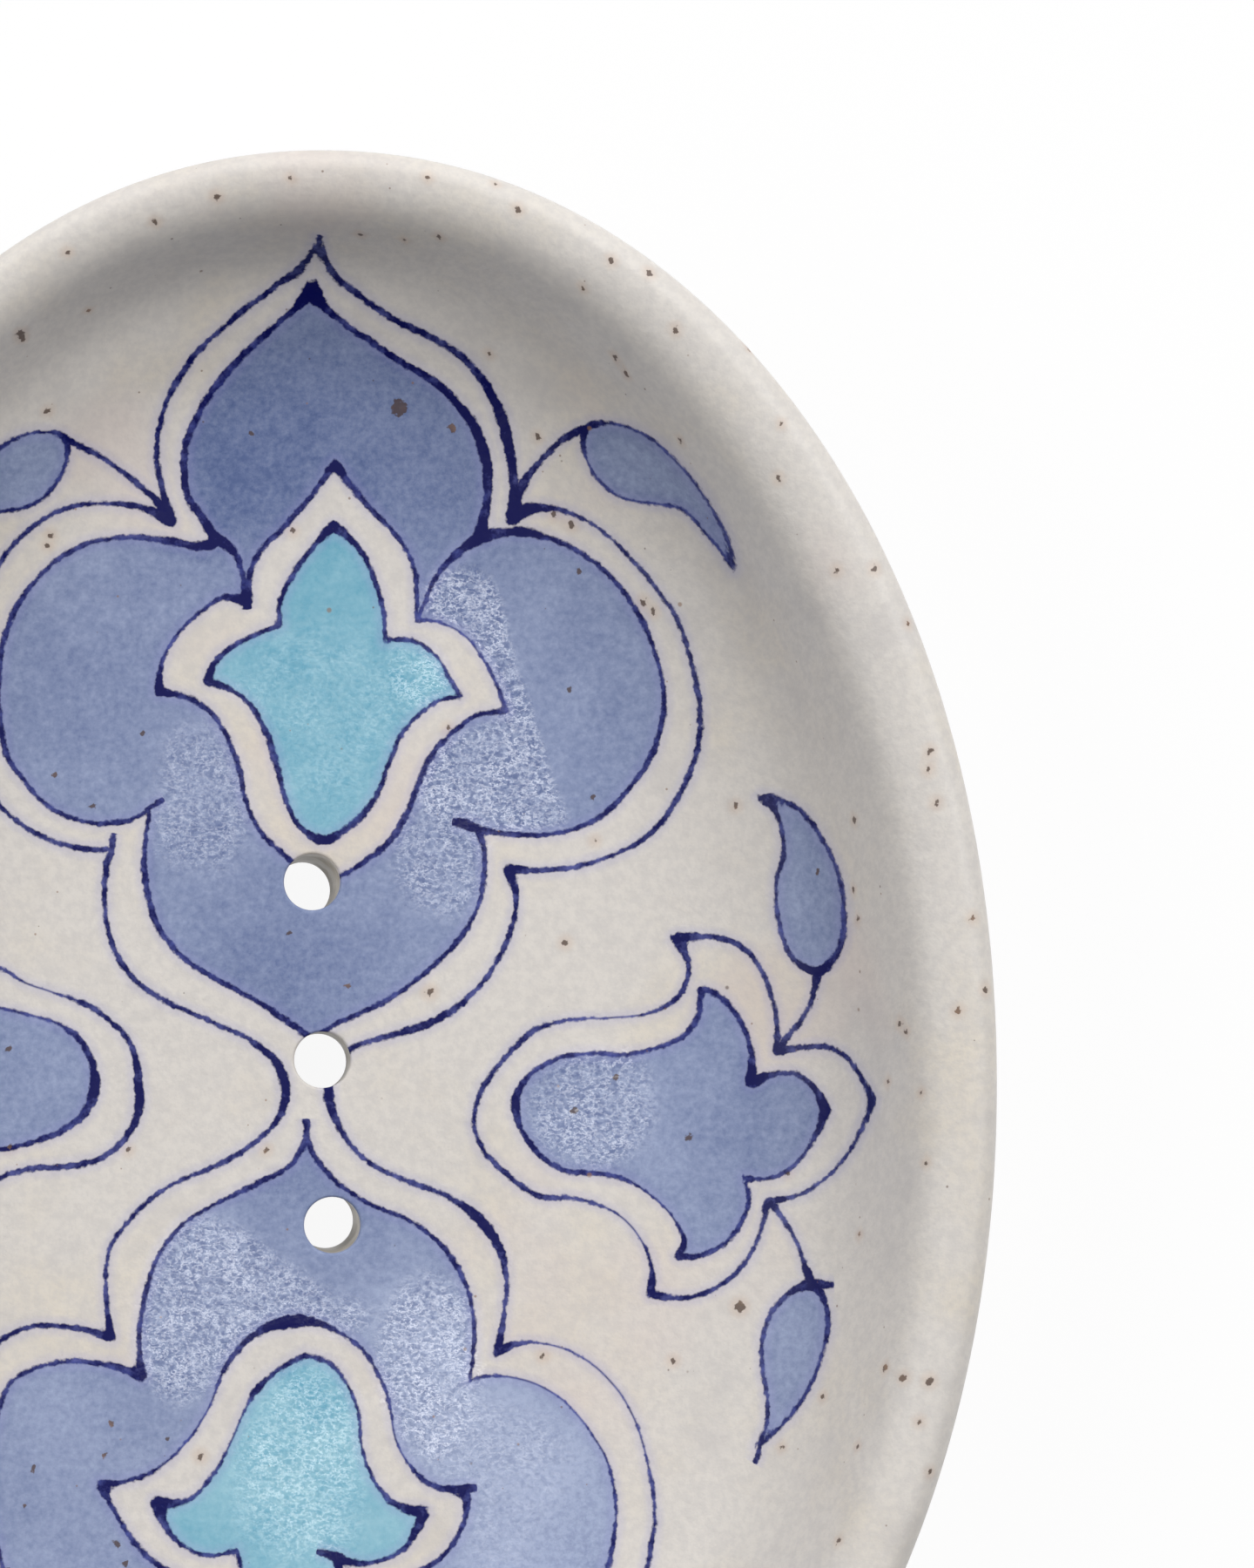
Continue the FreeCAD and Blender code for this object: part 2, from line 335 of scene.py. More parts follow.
# Depth of the blue wash: (pixel across, pixel down, how much deeper, reach in mm)
WASH_DEPTHS = [
    (390, 440, 0.2, 9.0), (470, 560, 0.22, 5.0), (260, 560, 0.3, 5.0), (290, 520, 0.15, 4.0),
    (340, 1120, 0.25, 5.0), (60, 800, 0.1, 6.0), (700, 780, 0.05, 5.0), (900, 1290, 0.16, 4.0),
    (690, 1290, -0.05, 5.0), (580, 1660, -0.3, 8.0), (640, 1780, -0.2, 7.0), (230, 1480, -0.12, 5.0),
    (490, 1560, -0.22, 4.0), (360, 1370, 0.22, 3.5), (90, 1640, -0.05, 5.0),
    (340, 1690, -0.32, 5.0), (355, 1590, 0.15, 2.5), (760, 540, -0.08, 4.0), (930, 1010, -0.02, 4.0),
    (915, 1560, -0.1, 4.0), (40, 530, -0.06, 4.0),
]
# Iron spots that show in the photograph: (pixel across, pixel down, radius in mm)
IRON_SPOTS = [
    (252, 231, 0.3), (333, 203, 0.18), (490, 203, 0.18), (576, 198, 0.16), (19, 379, 0.3),
    (30, 385, 0.24), (456, 472, 0.7), (520, 496, 0.4), (848, 1497, 0.46), (743, 691, 0.34),
    (748, 700, 0.26), (657, 1276, 0.36), (790, 1305, 0.28), (704, 1236, 0.26), (648, 1085, 0.26),
    (1031, 1175, 0.34), (981, 1054, 0.26), (1016, 1241, 0.26), (988, 1418, 0.22), (333, 1072, 0.26),
    (398, 1133, 0.24), (492, 1140, 0.36), (308, 1317, 0.24), (104, 926, 0.32), (64, 893, 0.22),
    (162, 841, 0.22), (655, 795, 0.26), (684, 914, 0.28), (842, 926, 0.26), (682, 963, 0.2),
    (514, 837, 0.22), (180, 261, 0.28), (84, 291, 0.22), (105, 353, 0.22), (24, 384, 0.24),
    (59, 473, 0.26), (288, 502, 0.24), (58, 613, 0.24), (51, 627, 0.22), (339, 614, 0.24),
    (409, 268, 0.3), (500, 270, 0.3), (461, 280, 0.2), (704, 302, 0.26), (669, 331, 0.22),
    (771, 376, 0.3), (710, 412, 0.34), (723, 429, 0.26), (615, 504, 0.24), (782, 511, 0.26),
    (661, 656, 0.26), (637, 595, 0.28), (658, 604, 0.3), (600, 241, 0.26), (893, 545, 0.24),
    (1010, 652, 0.26), (958, 655, 0.22), (1068, 857, 0.26), (1064, 882, 0.26), (1072, 920, 0.28),
    (982, 945, 0.32), (976, 1019, 0.26), (939, 997, 0.22), (1121, 1054, 0.24), (1103, 1165, 0.26),
    (1037, 1187, 0.22), (1058, 1258, 0.22), (1062, 1330, 0.22), (1012, 1570, 0.32), (1039, 1582, 0.32),
    (1066, 1583, 0.32), (1056, 1632, 0.22), (945, 1602, 0.24), (983, 1658, 0.22), (895, 1663, 0.2),
    (772, 1560, 0.24), (624, 1556, 0.28), (36, 1688, 0.3), (130, 1636, 0.3), (132, 1769, 0.3),
    (122, 1670, 0.22), (230, 1674, 0.3), (27, 1727, 0.22), (192, 1653, 0.22), (147, 1797, 0.24),
    (8, 1203, 0.32), (8, 1316, 0.34), (147, 1323, 0.22), (960, 1770, 0.24), (905, 1345, 0.2),
    (560, 405, 0.22),
]
# Where the glaze ran thick, glossy and finely crinkled: (outline in pixels, how much, edge's softness in mm)
GLOSS_PATCHES = [
    ([(478, 700), (505, 655), (545, 652), (594, 767), (642, 915), (652, 940), (590, 955), (480, 930),
      (500, 860), (575, 815), (540, 735)], 1.0, 0.7),
    ([(470, 930), (560, 950), (552, 1010), (530, 1050), (480, 1040), (455, 990)], 0.75, 2.2),
    ([(195, 850), (235, 830), (268, 860), (285, 950), (255, 1000), (195, 990)], 0.62, 2.0),
    ([(250, 790), (330, 720), (450, 745), (520, 790), (460, 850), (420, 920), (350, 930),
      (310, 830)], 0.35, 4.0),
    ([(446, 745), (490, 740), (518, 785), (480, 815), (450, 800)], 0.75, 1.6),
    ([(175, 1450), (205, 1405), (250, 1398), (310, 1440), (370, 1480), (425, 1512), (400, 1530),
      (330, 1508), (280, 1540), (240, 1590), (200, 1610), (160, 1560)], 0.95, 1.6),
    ([(440, 1505), (500, 1462), (535, 1495), (550, 1560), (545, 1630), (500, 1680), (455, 1640),
      (432, 1565)], 1.0, 1.8),
    ([(520, 1600), (600, 1620), (660, 1660), (600, 1700), (500, 1690)], 0.5, 2.6),
    ([(605, 1270), (625, 1222), (735, 1218), (745, 1300), (700, 1335), (640, 1325)], 0.85, 1.6),
    ([(275, 1740), (285, 1640), (330, 1575), (395, 1590), (410, 1690), (400, 1770),
      (320, 1790)], 0.75, 2.6),
    ([(560, 1610), (660, 1650), (695, 1740), (680, 1850), (560, 1880), (530, 1760)], 0.35, 3.0),
]

# Iron spots scattered over the rest of the dish
hidden_spots = 230
hidden_spot_radii = (0.16, 0.34)
spot_seed = 41
spot_window = 2.5  # round a spot, in which its depth is worked out

# Where the painting that lies outside the picture comes from, in pixels
leaf_mirror_column = 373.5
leaf_mirror_row = 1260
left_leaf_drop = 10
right_nose = (544, 1286)
left_nose = (160, 1260)
left_lean = 0.14  # pixels up for each pixel to the left

# White glaze: how much its clouds and mottles show, and its slow waves against its crinkle
pink_share = 0.35
cool_share = 0.6
mottle_share = 0.45
slow_wave_rise = 1.6

# Blue wash and turquoise
plain_wash_depth = 0.42
pool_depth = 0.12  # deeper along the wash's edge
pit_depth = 0.45  # deeper in the pits of the thick glaze

# Brush lines, in millimetres, and their ink
line_half_width = 0.215  # where nothing is added to the brush's load
line_load_width = 0.15  # more for each unit of the load
line_least_width = 0.07
line_softness = 0.09
stroke_end = 0.35  # past a single stroke's end, where it has died away
stroke_end_push = 3.0  # distance from the line that is added there
bleed_reach = 0.85
bleed_inside = 0.05
bleed_share = 0.27
load_fullness = 0.35  # more for each unit of the load
bead_contrast = 2.6
bead_shift = -0.55
thin_ink_cover = 0.90

# Iron: how dense its halo, spots and fine specks are
halo_share = 0.38
spot_share = 0.85
speck_share = 0.65
foot_speck_share = 0.6
speck_radius = 0.11  # in cells, times how far a cell is chosen
speck_softness = 0.02
# Fine specks on the dish, in two sizes, and on the feet: (cells to the millimetre, share that may hold one)
FINE_SPECKS = [(0.30, 0.55), (0.62, 0.60)]
FOOT_SPECKS = (0.40, 0.80)

# Thick glaze: veins drawn out aslant, and its coat
vein_turn = math.radians(25)
vein_stretch = (0.7, 1.2, 1.0)
vein_width = 0.065
between_veins = 0.08  # coat left there
coat_lost_to_ink = 0.85
coat_roughness = 0.10
coat_index = 1.85
glaze_specular = 0.2

# Heights of a foot between which its glaze wears off to bare clay, each less a noise from 0 to 1
wear_heights = (1.05, 1.35)


# Shape of the dish


def arc(centre, radius, first, last, count):
    """Points on a circle between two angles in degrees, as rows of (inset, height)."""
    angles = np.radians(np.linspace(first, last, count))
    return np.column_stack([centre[0] + radius * np.cos(angles), centre[1] + radius * np.sin(angles)])


def well_section():
    """Section from the crest of the rim inwards to the flat floor, as rows of (inset, height).

    A rim arc, a straight wall, a cove arc and a floor arc follow each other, each tangent to the next.
    """
    slope = math.radians(inner_wall_slope)
    run_out = math.radians(floor_slope)
    rim_centre = (rim_outer_radius, dish_height - rim_inner_radius)
    rim = arc(rim_centre, rim_inner_radius, 90, 90 - inner_wall_slope, section_points)
    floor_rise = floor_radius * (1 - math.cos(run_out))
    cove_rise = cove_radius * (math.cos(run_out) - math.cos(slope))
    wall_drop = rim[-1, 1] - floor_height - floor_rise - cove_rise
    cove_start = rim[-1] + wall_drop * np.array([1 / math.tan(slope), -1])
    cove_centre = cove_start + cove_radius * np.array([math.sin(slope), math.cos(slope)])
    cove = arc(cove_centre, cove_radius, 270 - inner_wall_slope, 270 - floor_slope, section_points)
    floor_centre = (cove[-1, 0] + floor_radius * math.sin(run_out), floor_height + floor_radius)
    floor = arc(floor_centre, floor_radius, 270 - floor_slope, 270, section_points)
    return np.vstack([rim, cove, floor])


def outer_section():
    """Section from just past the crest outwards and down to the underside's edge, as rows of (inset, height).

    The rest of the rim arc, a straight wall and the arc of the base corner follow each other.
    """
    slope = math.radians(outer_wall_slope)
    rim_centre = (rim_outer_radius, dish_height - rim_outer_radius)
    rim = arc(rim_centre, rim_outer_radius, 90, 270 - outer_wall_slope, rim_rows + 1)
    drop = rim[-1, 1] - underside_height - base_corner_radius * (1 - math.cos(slope))
    corner_start = rim[-1] + drop * np.array([1 / math.tan(slope), -1])
    wall = np.linspace(rim[-1], corner_start, outer_wall_rows + 1)
    corner_inset = corner_start[0] + base_corner_radius * math.sin(slope)
    corner_centre = (corner_inset, underside_height + base_corner_radius)
    corner = arc(corner_centre, base_corner_radius, 270 - outer_wall_slope, 270, base_corner_rows + 1)
    return np.vstack([rim[1:], wall[1:], corner[1:]])


WELL = well_section()


def inset_at(plan):
    """How far plan points lie inside the outline: the inset s whose drawn-in oval passes through each point.

    Halving steps solve |x / (a - s)| ^ n + |y / (b - s)| ^ n = 1, with a and b the half width and length.
    """
    x, y = np.abs(plan[..., 0]), np.abs(plan[..., 1])
    low = np.zeros_like(x)
    high = np.full_like(x, deepest_inset)
    for _ in range(halvings):
        middle = (low + high) / 2
        across = (x / (half_width - middle)) ** outline_fullness
        along = (y / (half_length - middle)) ** outline_fullness
        low = np.where(across + along < 1, middle, low)
        high = np.where(across + along < 1, high, middle)
    return low


def rim_breadth(bearings):
    """How broad the rim is at bearings in degrees: runs between listed places, averaged over 24 degrees."""
    listed, shares = np.array(RIM_BREADTHS).T
    near = np.arange(-12, 13, 4)
    return np.interp(np.add.outer(bearings, near), listed, shares, period=360).mean(axis=-1)


def well_height(plan):
    """Height of the dish's upper surface over plan points, read from the section of the well.

    The rim's breadth stretches the insets near the rim, and fades out towards the floor.
    """
    inset = inset_at(plan)
    bearings = np.degrees(np.arctan2(plan[..., 1] / half_length, plan[..., 0] / half_width))
    share = np.clip((rim_breadth_reach[1] - inset) / (rim_breadth_reach[1] - rim_breadth_reach[0]), 0, 1)
    share = share * share * (3 - 2 * share)
    return np.interp(inset / (1 + (rim_breadth(bearings) - 1) * share), WELL[:, 0], WELL[:, 1])


def oval(inset, bearings):
    """Plan points of the outline drawn in by an inset: powers of the bearing's cosine and sine."""
    power = 2 / outline_fullness
    across = np.sign(np.cos(bearings)) * np.abs(np.cos(bearings)) ** power
    along = np.sign(np.sin(bearings)) * np.abs(np.sin(bearings)) ** power
    return np.column_stack([(half_width - inset) * across, (half_length - inset) * along])


def hand_waves(points):
    """The height that the hand left: soft waves on the floor, and a rim that dips between its high spots.

    On the floor, a sine across times a cosine along, and half as much of a finer, slanted sine. They fade up
    the wall and down to the underside. The rim's dip is a mean plus a sine of three waves and one of five
    round the dish, and grows up the wall.
    """
    x, y, z = points.T
    rise = np.clip((z - floor_height) / (dish_height - floor_height), 0, 1)
    above_underside = np.clip((z - underside_height - 1) / (floor_thickness - 1), 0, 1)
    bearing = np.arctan2(y / half_length, x / half_width)
    broad_waves = np.sin(x / 7.1 + 0.6) * np.cos(y / 9.7 - 0.4)
    fine_waves = np.sin(x / 3.9 - y / 4.6)
    floor_waves = floor_wave_height * (broad_waves + 0.5 * fine_waves)
    dips = 0.5 + 0.3 * np.sin(3 * bearing + 1.1) + 0.2 * np.sin(5 * bearing - 0.7)
    return floor_waves * above_underside * (1 - rise) - rim_dip * dips * rise


# Mesh of the body


class Skin:
    """Collects the vertices, four-cornered faces and flat map of one closed piece."""

    def __init__(self):
        self.points = []
        self.faces = []
        self.maps = []
        self.count = 0

    def add(self, points):
        """Adds vertices and gives back their numbers."""
        numbers = np.arange(self.count, self.count + len(points))
        self.points.append(points)
        self.count += len(points)
        return numbers

    def sheet(self, numbers, flat, keep, flipped=False):
        """Faces of a vertex grid where keep is true, which point up if the grid runs across, then along."""
        corners = [numbers[:-1, :-1], numbers[1:, :-1], numbers[1:, 1:], numbers[:-1, 1:]]
        if flipped:
            corners.reverse()
        quads = np.stack([corner[keep] for corner in corners], axis=1)
        self.faces.append(quads)
        self.maps.append(flat[quads])

    def strip(self, inner, outer, inner_map, outer_map):
        """Faces between two closed loops of vertices that run the same way round."""
        inner, outer = np.append(inner, inner[0]), np.append(outer, outer[0])
        self.faces.append(np.stack([inner[:-1], outer[:-1], outer[1:], inner[1:]], axis=1))
        self.maps.append(np.stack([inner_map[:-1], outer_map[:-1], outer_map[1:], inner_map[1:]], axis=1))

    def finished(self):
        """All points, faces and map corners, without the vertices that no face uses, and the old numbers."""
        points, faces, maps = np.vstack(self.points), np.vstack(self.faces), np.vstack(self.maps)
        used, renumbered = np.unique(faces, return_inverse=True)
        return points[used], renumbered.reshape(faces.shape), maps, used


def block_plan():
    """Plan of the middle block: a grid of (u, v) from -1 to 1, bulged towards an oval.

    x = a u sqrt(1 - k v v) and y = b v sqrt(1 - k u u), with k the roundness.
    """
    u, v = np.meshgrid(*(np.linspace(-1, 1, cells + 1) for cells in block_cells), indexing="ij")
    x = block_half_size[0] * u * np.sqrt(1 - block_roundness * v * v)
    y = block_half_size[1] * v * np.sqrt(1 - block_roundness * u * u)
    return np.stack([x, y], axis=-1)


def square_loop(half_across, half_along, middle=(0, 0)):
    """Grid steps of a rectangle's edge, anticlockwise from its lower right corner, as (across, along)."""
    across = np.arange(-half_across, half_across)
    along = np.arange(-half_along, half_along)
    right = np.column_stack([np.full(len(along), half_across), along])
    top = np.column_stack([-across, np.full(len(across), half_along)])
    loop = np.vstack([right, top, -right, -top])
    return loop + np.array(middle)


def open_hole(plan, middle, centre):
    """Turns the square rings of block vertices round a hole into circles, in place.

    Ring c lies c grid steps from the hole's middle vertex. It moves onto a circle round the hole's centre,
    wholly at the hole's edge and less and less out to the ring where the block is plain again.
    """
    steps = np.arange(-hole_ease_cells, hole_ease_cells + 1)
    across, along = np.meshgrid(steps, steps, indexing="ij")
    ring = np.maximum(np.maximum(np.abs(across), np.abs(along)), 1)
    sides = [across == ring, along == ring, across == -ring, along == -ring]
    turns = [along / ring, 2 - across / ring, 4 - along / ring, 6 + across / ring]
    angle = np.select(sides, turns) * math.pi / 4
    cell = block_half_size[0] * 2 / block_cells[0]
    radius = drain_radius + drain_lip_radius + (ring - hole_cells) * cell
    circle = centre + radius[..., None] * np.stack([np.cos(angle), np.sin(angle)], axis=-1)
    share = np.clip((hole_ease_cells - ring) / (hole_ease_cells - hole_cells), 0, 1)[..., None]
    window = plan[
        middle[0] - hole_ease_cells:middle[0] + hole_ease_cells + 1,
        middle[1] - hole_ease_cells:middle[1] + hole_ease_cells + 1,
    ]
    window += share * (circle - window)


def hole_loops(upper_loop, lower_loop):
    """Loops of vertices down a drain hole, between its edge on the floor and its edge on the underside.

    A soft lip turns down from the upper edge and another one meets the lower edge, with a slanted tube
    between. A loop is drawn in towards its centre, and lies at its share of the way down.
    """
    lip = np.radians(np.linspace(0, 90, lip_rows + 1))[1:]
    drawn_in = drain_lip_radius * np.sin(lip)
    drop = drain_lip_radius * (1 - np.cos(lip)) / floor_thickness
    tube = np.linspace(drop[-1], 1 - drop[-1], hole_wall_rows + 1)[1:-1]
    inwards = np.concatenate([drawn_in, np.full(len(tube), drain_lip_radius), drawn_in[::-1]])
    downwards = np.concatenate([drop, tube, 1 - drop[::-1]])
    loops = []
    for inward, share in zip(inwards, downwards):
        loop = upper_loop + share * (lower_loop - upper_loop)
        centre = loop[:, :2].mean(axis=0)
        loop[:, :2] = centre + (loop[:, :2] - centre) * (1 - inward / (drain_radius + drain_lip_radius))
        loops.append(loop)
    return loops


def body_skin():
    """The dish as one closed skin, its flat map, and which vertices are on top and which line a hole.

    A block of cells on the floor, rows of vertices from there over the rim and down the outer wall to the
    underside, a like block on the underside, and a tube through each drain hole.
    """
    skin = Skin()
    upper_plan = block_plan()
    lower_plan = block_plan()
    keep = np.ones(block_cells, bool)
    middles = []
    for place, slant in zip(drain_places, drain_slants):
        distance = np.linalg.norm(upper_plan - place, axis=-1)
        middle = np.array(np.unravel_index(distance.argmin(), distance.shape))
        middles.append(middle)
        low, high = middle - hole_cells, middle + hole_cells
        keep[low[0]:high[0], low[1]:high[1]] = False
        open_hole(upper_plan, middle, place)
        open_hole(lower_plan, middle, place + slant)

    half_cells = np.array(block_cells) // 2
    edge = square_loop(*half_cells, half_cells)
    edge_plan = upper_plan[edge[:, 0], edge[:, 1]]
    quarter_turns = [np.linspace(-45, 45, cells, endpoint=False) for cells in block_cells[::-1]]
    bearings = np.radians(np.concatenate([quarter_turns[side % 2] + 90 * side for side in range(4)]))

    def raised(plan):
        """Vertices on the dish's upper surface."""
        plan = plan.reshape(-1, 2)
        return np.column_stack([plan, well_height(plan)])

    def level(plan, height):
        """Vertices at one height."""
        plan = plan.reshape(-1, 2)
        return np.column_stack([plan, np.full(len(plan), height)])

    upper_block = skin.add(raised(upper_plan)).reshape(upper_plan.shape[:2])
    breadth = rim_breadth(np.degrees(bearings))
    crest = oval(rim_outer_radius * breadth, bearings)
    well_loops = [upper_block[edge[:, 0], edge[:, 1]]]
    for share in np.arange(1, well_rows + 1) / well_rows:
        well_loops.append(skin.add(raised(edge_plan + (crest - edge_plan) * share)))
    outer = outer_section()
    broadened = outer[:, 0].copy()
    broadened[rim_rows:] = outer[rim_rows - 1, 0]
    outer_loops = [well_loops[-1]]
    for (inset, height), part in zip(outer, broadened):
        outer_plan = oval(inset + part * (breadth - 1), bearings)
        outer_loops.append(skin.add(level(outer_plan, height)))
    under_loops = [outer_loops[-1]]
    for share in np.arange(1, underside_rows) / underside_rows:
        under_plan = outer_plan + (edge_plan - outer_plan) * share
        under_loops.append(skin.add(level(under_plan, underside_height)))
    lower_block = skin.add(level(lower_plan, underside_height)).reshape(lower_plan.shape[:2])
    under_loops.append(lower_block[edge[:, 0], edge[:, 1]])
    points = np.vstack(skin.points)

    top_map, under_map = plan_maps(points)
    skin.sheet(upper_block, top_map, keep)
    equator = rim_rows * 90 // (180 - round(outer_wall_slope)) + 1
    base = rim_rows + outer_wall_rows
    top_loops = well_loops + outer_loops[1:equator + 1]
    for inner, outer_loop in zip(top_loops, top_loops[1:]):
        skin.strip(inner, outer_loop, *closed_maps(top_map, inner, outer_loop))
    wall_loops = outer_loops[equator:base + 1]
    wall_maps = strip_maps(len(bearings), len(wall_loops), wall_map_low, wall_map_high)
    for row in range(len(wall_loops) - 1):
        skin.strip(wall_loops[row], wall_loops[row + 1], wall_maps[row], wall_maps[row + 1])
    base_loops = outer_loops[base:] + under_loops[1:]
    for inner, outer_loop in zip(base_loops, base_loops[1:]):
        skin.strip(inner, outer_loop, *closed_maps(under_map, inner, outer_loop))
    skin.sheet(lower_block, under_map, keep, flipped=True)

    hole_start = skin.count
    for middle, (low, high) in zip(middles, hole_map_places):
        ring = square_loop(hole_cells, hole_cells, middle)
        upper_ring = upper_block[ring[:, 0], ring[:, 1]]
        lower_ring = lower_block[ring[:, 0], ring[:, 1]]
        loops = [skin.add(loop) for loop in hole_loops(points[upper_ring], points[lower_ring])]
        loops = [upper_ring] + loops + [lower_ring]
        maps = strip_maps(len(ring), len(loops), low, high)
        for row in range(len(loops) - 1):
            skin.strip(loops[row + 1], loops[row], maps[row + 1], maps[row])
    top_end = well_loops[-1][-1] + 1
    points, faces, maps, used = skin.finished()
    return points, faces, maps, used < top_end, used >= hole_start


# Flat map of the body, in shares of a square: the top on its side, and below it the underside, wall and holes
top_map_scale = 0.98 / (2 * half_length)
top_map_middle = (0.5, 0.99 - half_width * top_map_scale)
under_map_scale = 0.0030
under_map_middle = (0.195, 0.132)
wall_map_low, wall_map_high = (0.40, 0.01), (0.99, 0.22)
hole_map_places = [
    ((0.40 + 0.2 * hole, 0.232), (0.58 + 0.2 * hole, 0.256)) for hole in range(len(drain_places))
]


def plan_maps(points):
    """Flat places of vertices seen from above, and of vertices seen from below."""
    x, y = points[:, 0], points[:, 1]
    top = np.column_stack([y, -x]) * top_map_scale + top_map_middle
    under = np.column_stack([y, x]) * under_map_scale + under_map_middle
    return top, under


def closed_maps(flat, *loops):
    """Flat places along closed loops, with the first place once more at the end."""
    return [flat[np.append(loop, loop[0])] for loop in loops]


def strip_maps(columns, rows, low, high):
    """Flat places of a strip of loops, unrolled between two corners."""
    across = np.linspace(low[0], high[0], columns + 1)
    heights = np.linspace(high[1], low[1], rows)
    return [np.column_stack([across, np.full(columns + 1, height)]) for height in heights]


# Painted pattern


def on_dish(pixels):
    """Plan points of the dish's surface that the camera sees at pixels.

    The view ray is cut at the height of the surface, which is read again at each new cut.
    """
    pixels = np.asarray(pixels, float)
    tangents = (pixels - (photo_width / 2, photo_height / 2)) / pixels_per_tangent * (1, -1)
    height = np.full(len(pixels), floor_height)
    for _ in range(ray_rounds):
        plan = camera_place[:2] + tangents * (camera_place[2] - height)[:, None]
        height = well_height(plan)
    return plan


def brush_curve(points, steps=5):
    """A smooth line through given points: cubic pieces with tangents from the neighbouring chords."""
    points = np.asarray(points, float)
    if len(points) == 2:
        return points
    chords = np.diff(points, axis=0)
    lengths = np.linalg.norm(chords, axis=1)[:, None]
    slopes = chords / lengths
    inner = (slopes[:-1] * lengths[1:] + slopes[1:] * lengths[:-1]) / (lengths[:-1] + lengths[1:])
    tangents = np.vstack([1.5 * slopes[:1] - 0.5 * inner[:1], inner, 1.5 * slopes[-1:] - 0.5 * inner[-1:]])
    t = (np.arange(steps) / steps)[None, :, None]
    start, end = points[:-1, None], points[1:, None]
    leave, arrive = (tangents[:-1] * lengths)[:, None], (tangents[1:] * lengths)[:, None]
    curve = (
        start * (2 * t ** 3 - 3 * t ** 2 + 1) + leave * (t ** 3 - 2 * t ** 2 + t)
        + end * (3 * t ** 2 - 2 * t ** 3) + arrive * (t ** 3 - t ** 2)
    )
    return np.vstack([curve.reshape(-1, 2), points[-1:]])


def mirrored(strokes, across=None, down=None, shift=(0, 0)):
    """Strokes turned over left to right about a pixel column, or top to bottom about a row, then shifted."""
    def turned(point):
        x = point[0] if across is None else 2 * across - point[0]
        y = point[1] if down is None else 2 * down - point[1]
        return (x + shift[0], y + shift[1])
    return [[turned(point) for point in stroke] for stroke in strokes]


def facing_left(strokes):
    """Strokes of the right tulip turned over to the left one, which leans up to the left."""
    def turned(point):
        reach = point[0] - right_nose[0]
        return (left_nose[0] - reach, left_nose[1] + point[1] - right_nose[1] - left_lean * reach)
    return [[turned(point) for point in stroke] for stroke in strokes]


def inside_distance(plan, outlines):
    """Distance from plan points to closed outlines, positive inside, and OUTSIDE far away from them.

    The least distance to an outline's short straight pieces, signed by how often a ray crosses them.
    """
    result = np.full(len(plan), OUTSIDE)
    for strokes in outlines:
        line = on_dish(np.vstack([brush_curve(stroke)[:-1] for stroke in strokes]))
        low, high = line.min(axis=0) - outline_margin, line.max(axis=0) + outline_margin
        near = np.all((plan > low) & (plan < high), axis=1)
        x, y = plan[near].T
        least = np.full(len(x), FAR)
        inside = np.zeros(len(x), bool)
        for (ax, ay), (bx, by) in zip(line, np.roll(line, -1, axis=0)):
            dx, dy = bx - ax, by - ay
            share = np.clip(((x - ax) * dx + (y - ay) * dy) / max(dx * dx + dy * dy, 1e-12), 0, 1)
            least = np.minimum(least, (x - ax - share * dx) ** 2 + (y - ay - share * dy) ** 2)
            if ay != by:
                inside ^= ((ay > y) != (by > y)) & (x < ax + (y - ay) * dx / dy)
        distance = np.sqrt(least) * np.where(inside, 1, -1)
        result[near] = np.maximum(result[near], distance)
    return result


def stroke_distances(plan, strokes):
    """Sideways distance from plan points to the nearest single stroke, and how far within its ends they lie.

    The nearest straight piece of a stroke gives the distance. The first and last piece run on past the ends.
    """
    side = np.full(len(plan), OUTSIDE)
    within = np.full(len(plan), OUTSIDE)
    best = np.full(len(plan), FAR)
    for stroke in strokes:
        line = on_dish(brush_curve(stroke))
        low, high = line.min(axis=0) - 2 * stroke_reach, line.max(axis=0) + 2 * stroke_reach
        near = np.flatnonzero(np.all((plan > low) & (plan < high), axis=1))
        x, y = plan[near].T
        lengths = np.linalg.norm(np.diff(line, axis=0), axis=1)
        starts = np.concatenate([[0], np.cumsum(lengths)])
        for piece, length in enumerate(lengths):
            (ax, ay), (bx, by) = line[piece], line[piece + 1]
            dx, dy = (bx - ax) / length, (by - ay) / length
            forward = (x - ax) * dx + (y - ay) * dy
            reached = np.clip(forward, 0, length)
            off = np.hypot(x - ax - reached * dx, y - ay - reached * dy)
            sideways = (y - ay) * dx - (x - ax) * dy
            before = -FAR if piece == 0 else 0
            after = FAR if piece == len(lengths) - 1 else length
            run = starts[piece] + np.clip(forward, before, after)
            ends = np.minimum(run, starts[-1] - run)
            closer = off < best[near]
            chosen = near[closer]
            best[chosen] = off[closer]
            side[chosen] = sideways[closer]
            within[chosen] = np.minimum(ends, stroke_reach - off)[closer]
    return side, within


def blots(plan, marks):
    """A sum of soft round blots on plan points, from marks of (pixel across, pixel down, amount, reach).

    Each is a bell curve: its amount times e to the power of minus distance squared over twice reach squared.
    """
    marks = np.array(marks)
    total = np.zeros(len(plan))
    for centre, amount, reach in zip(on_dish(marks[:, :2]), marks[:, 2], marks[:, 3]):
        total += amount * np.exp(-((plan - centre) ** 2).sum(axis=1) / (2 * reach ** 2))
    return total


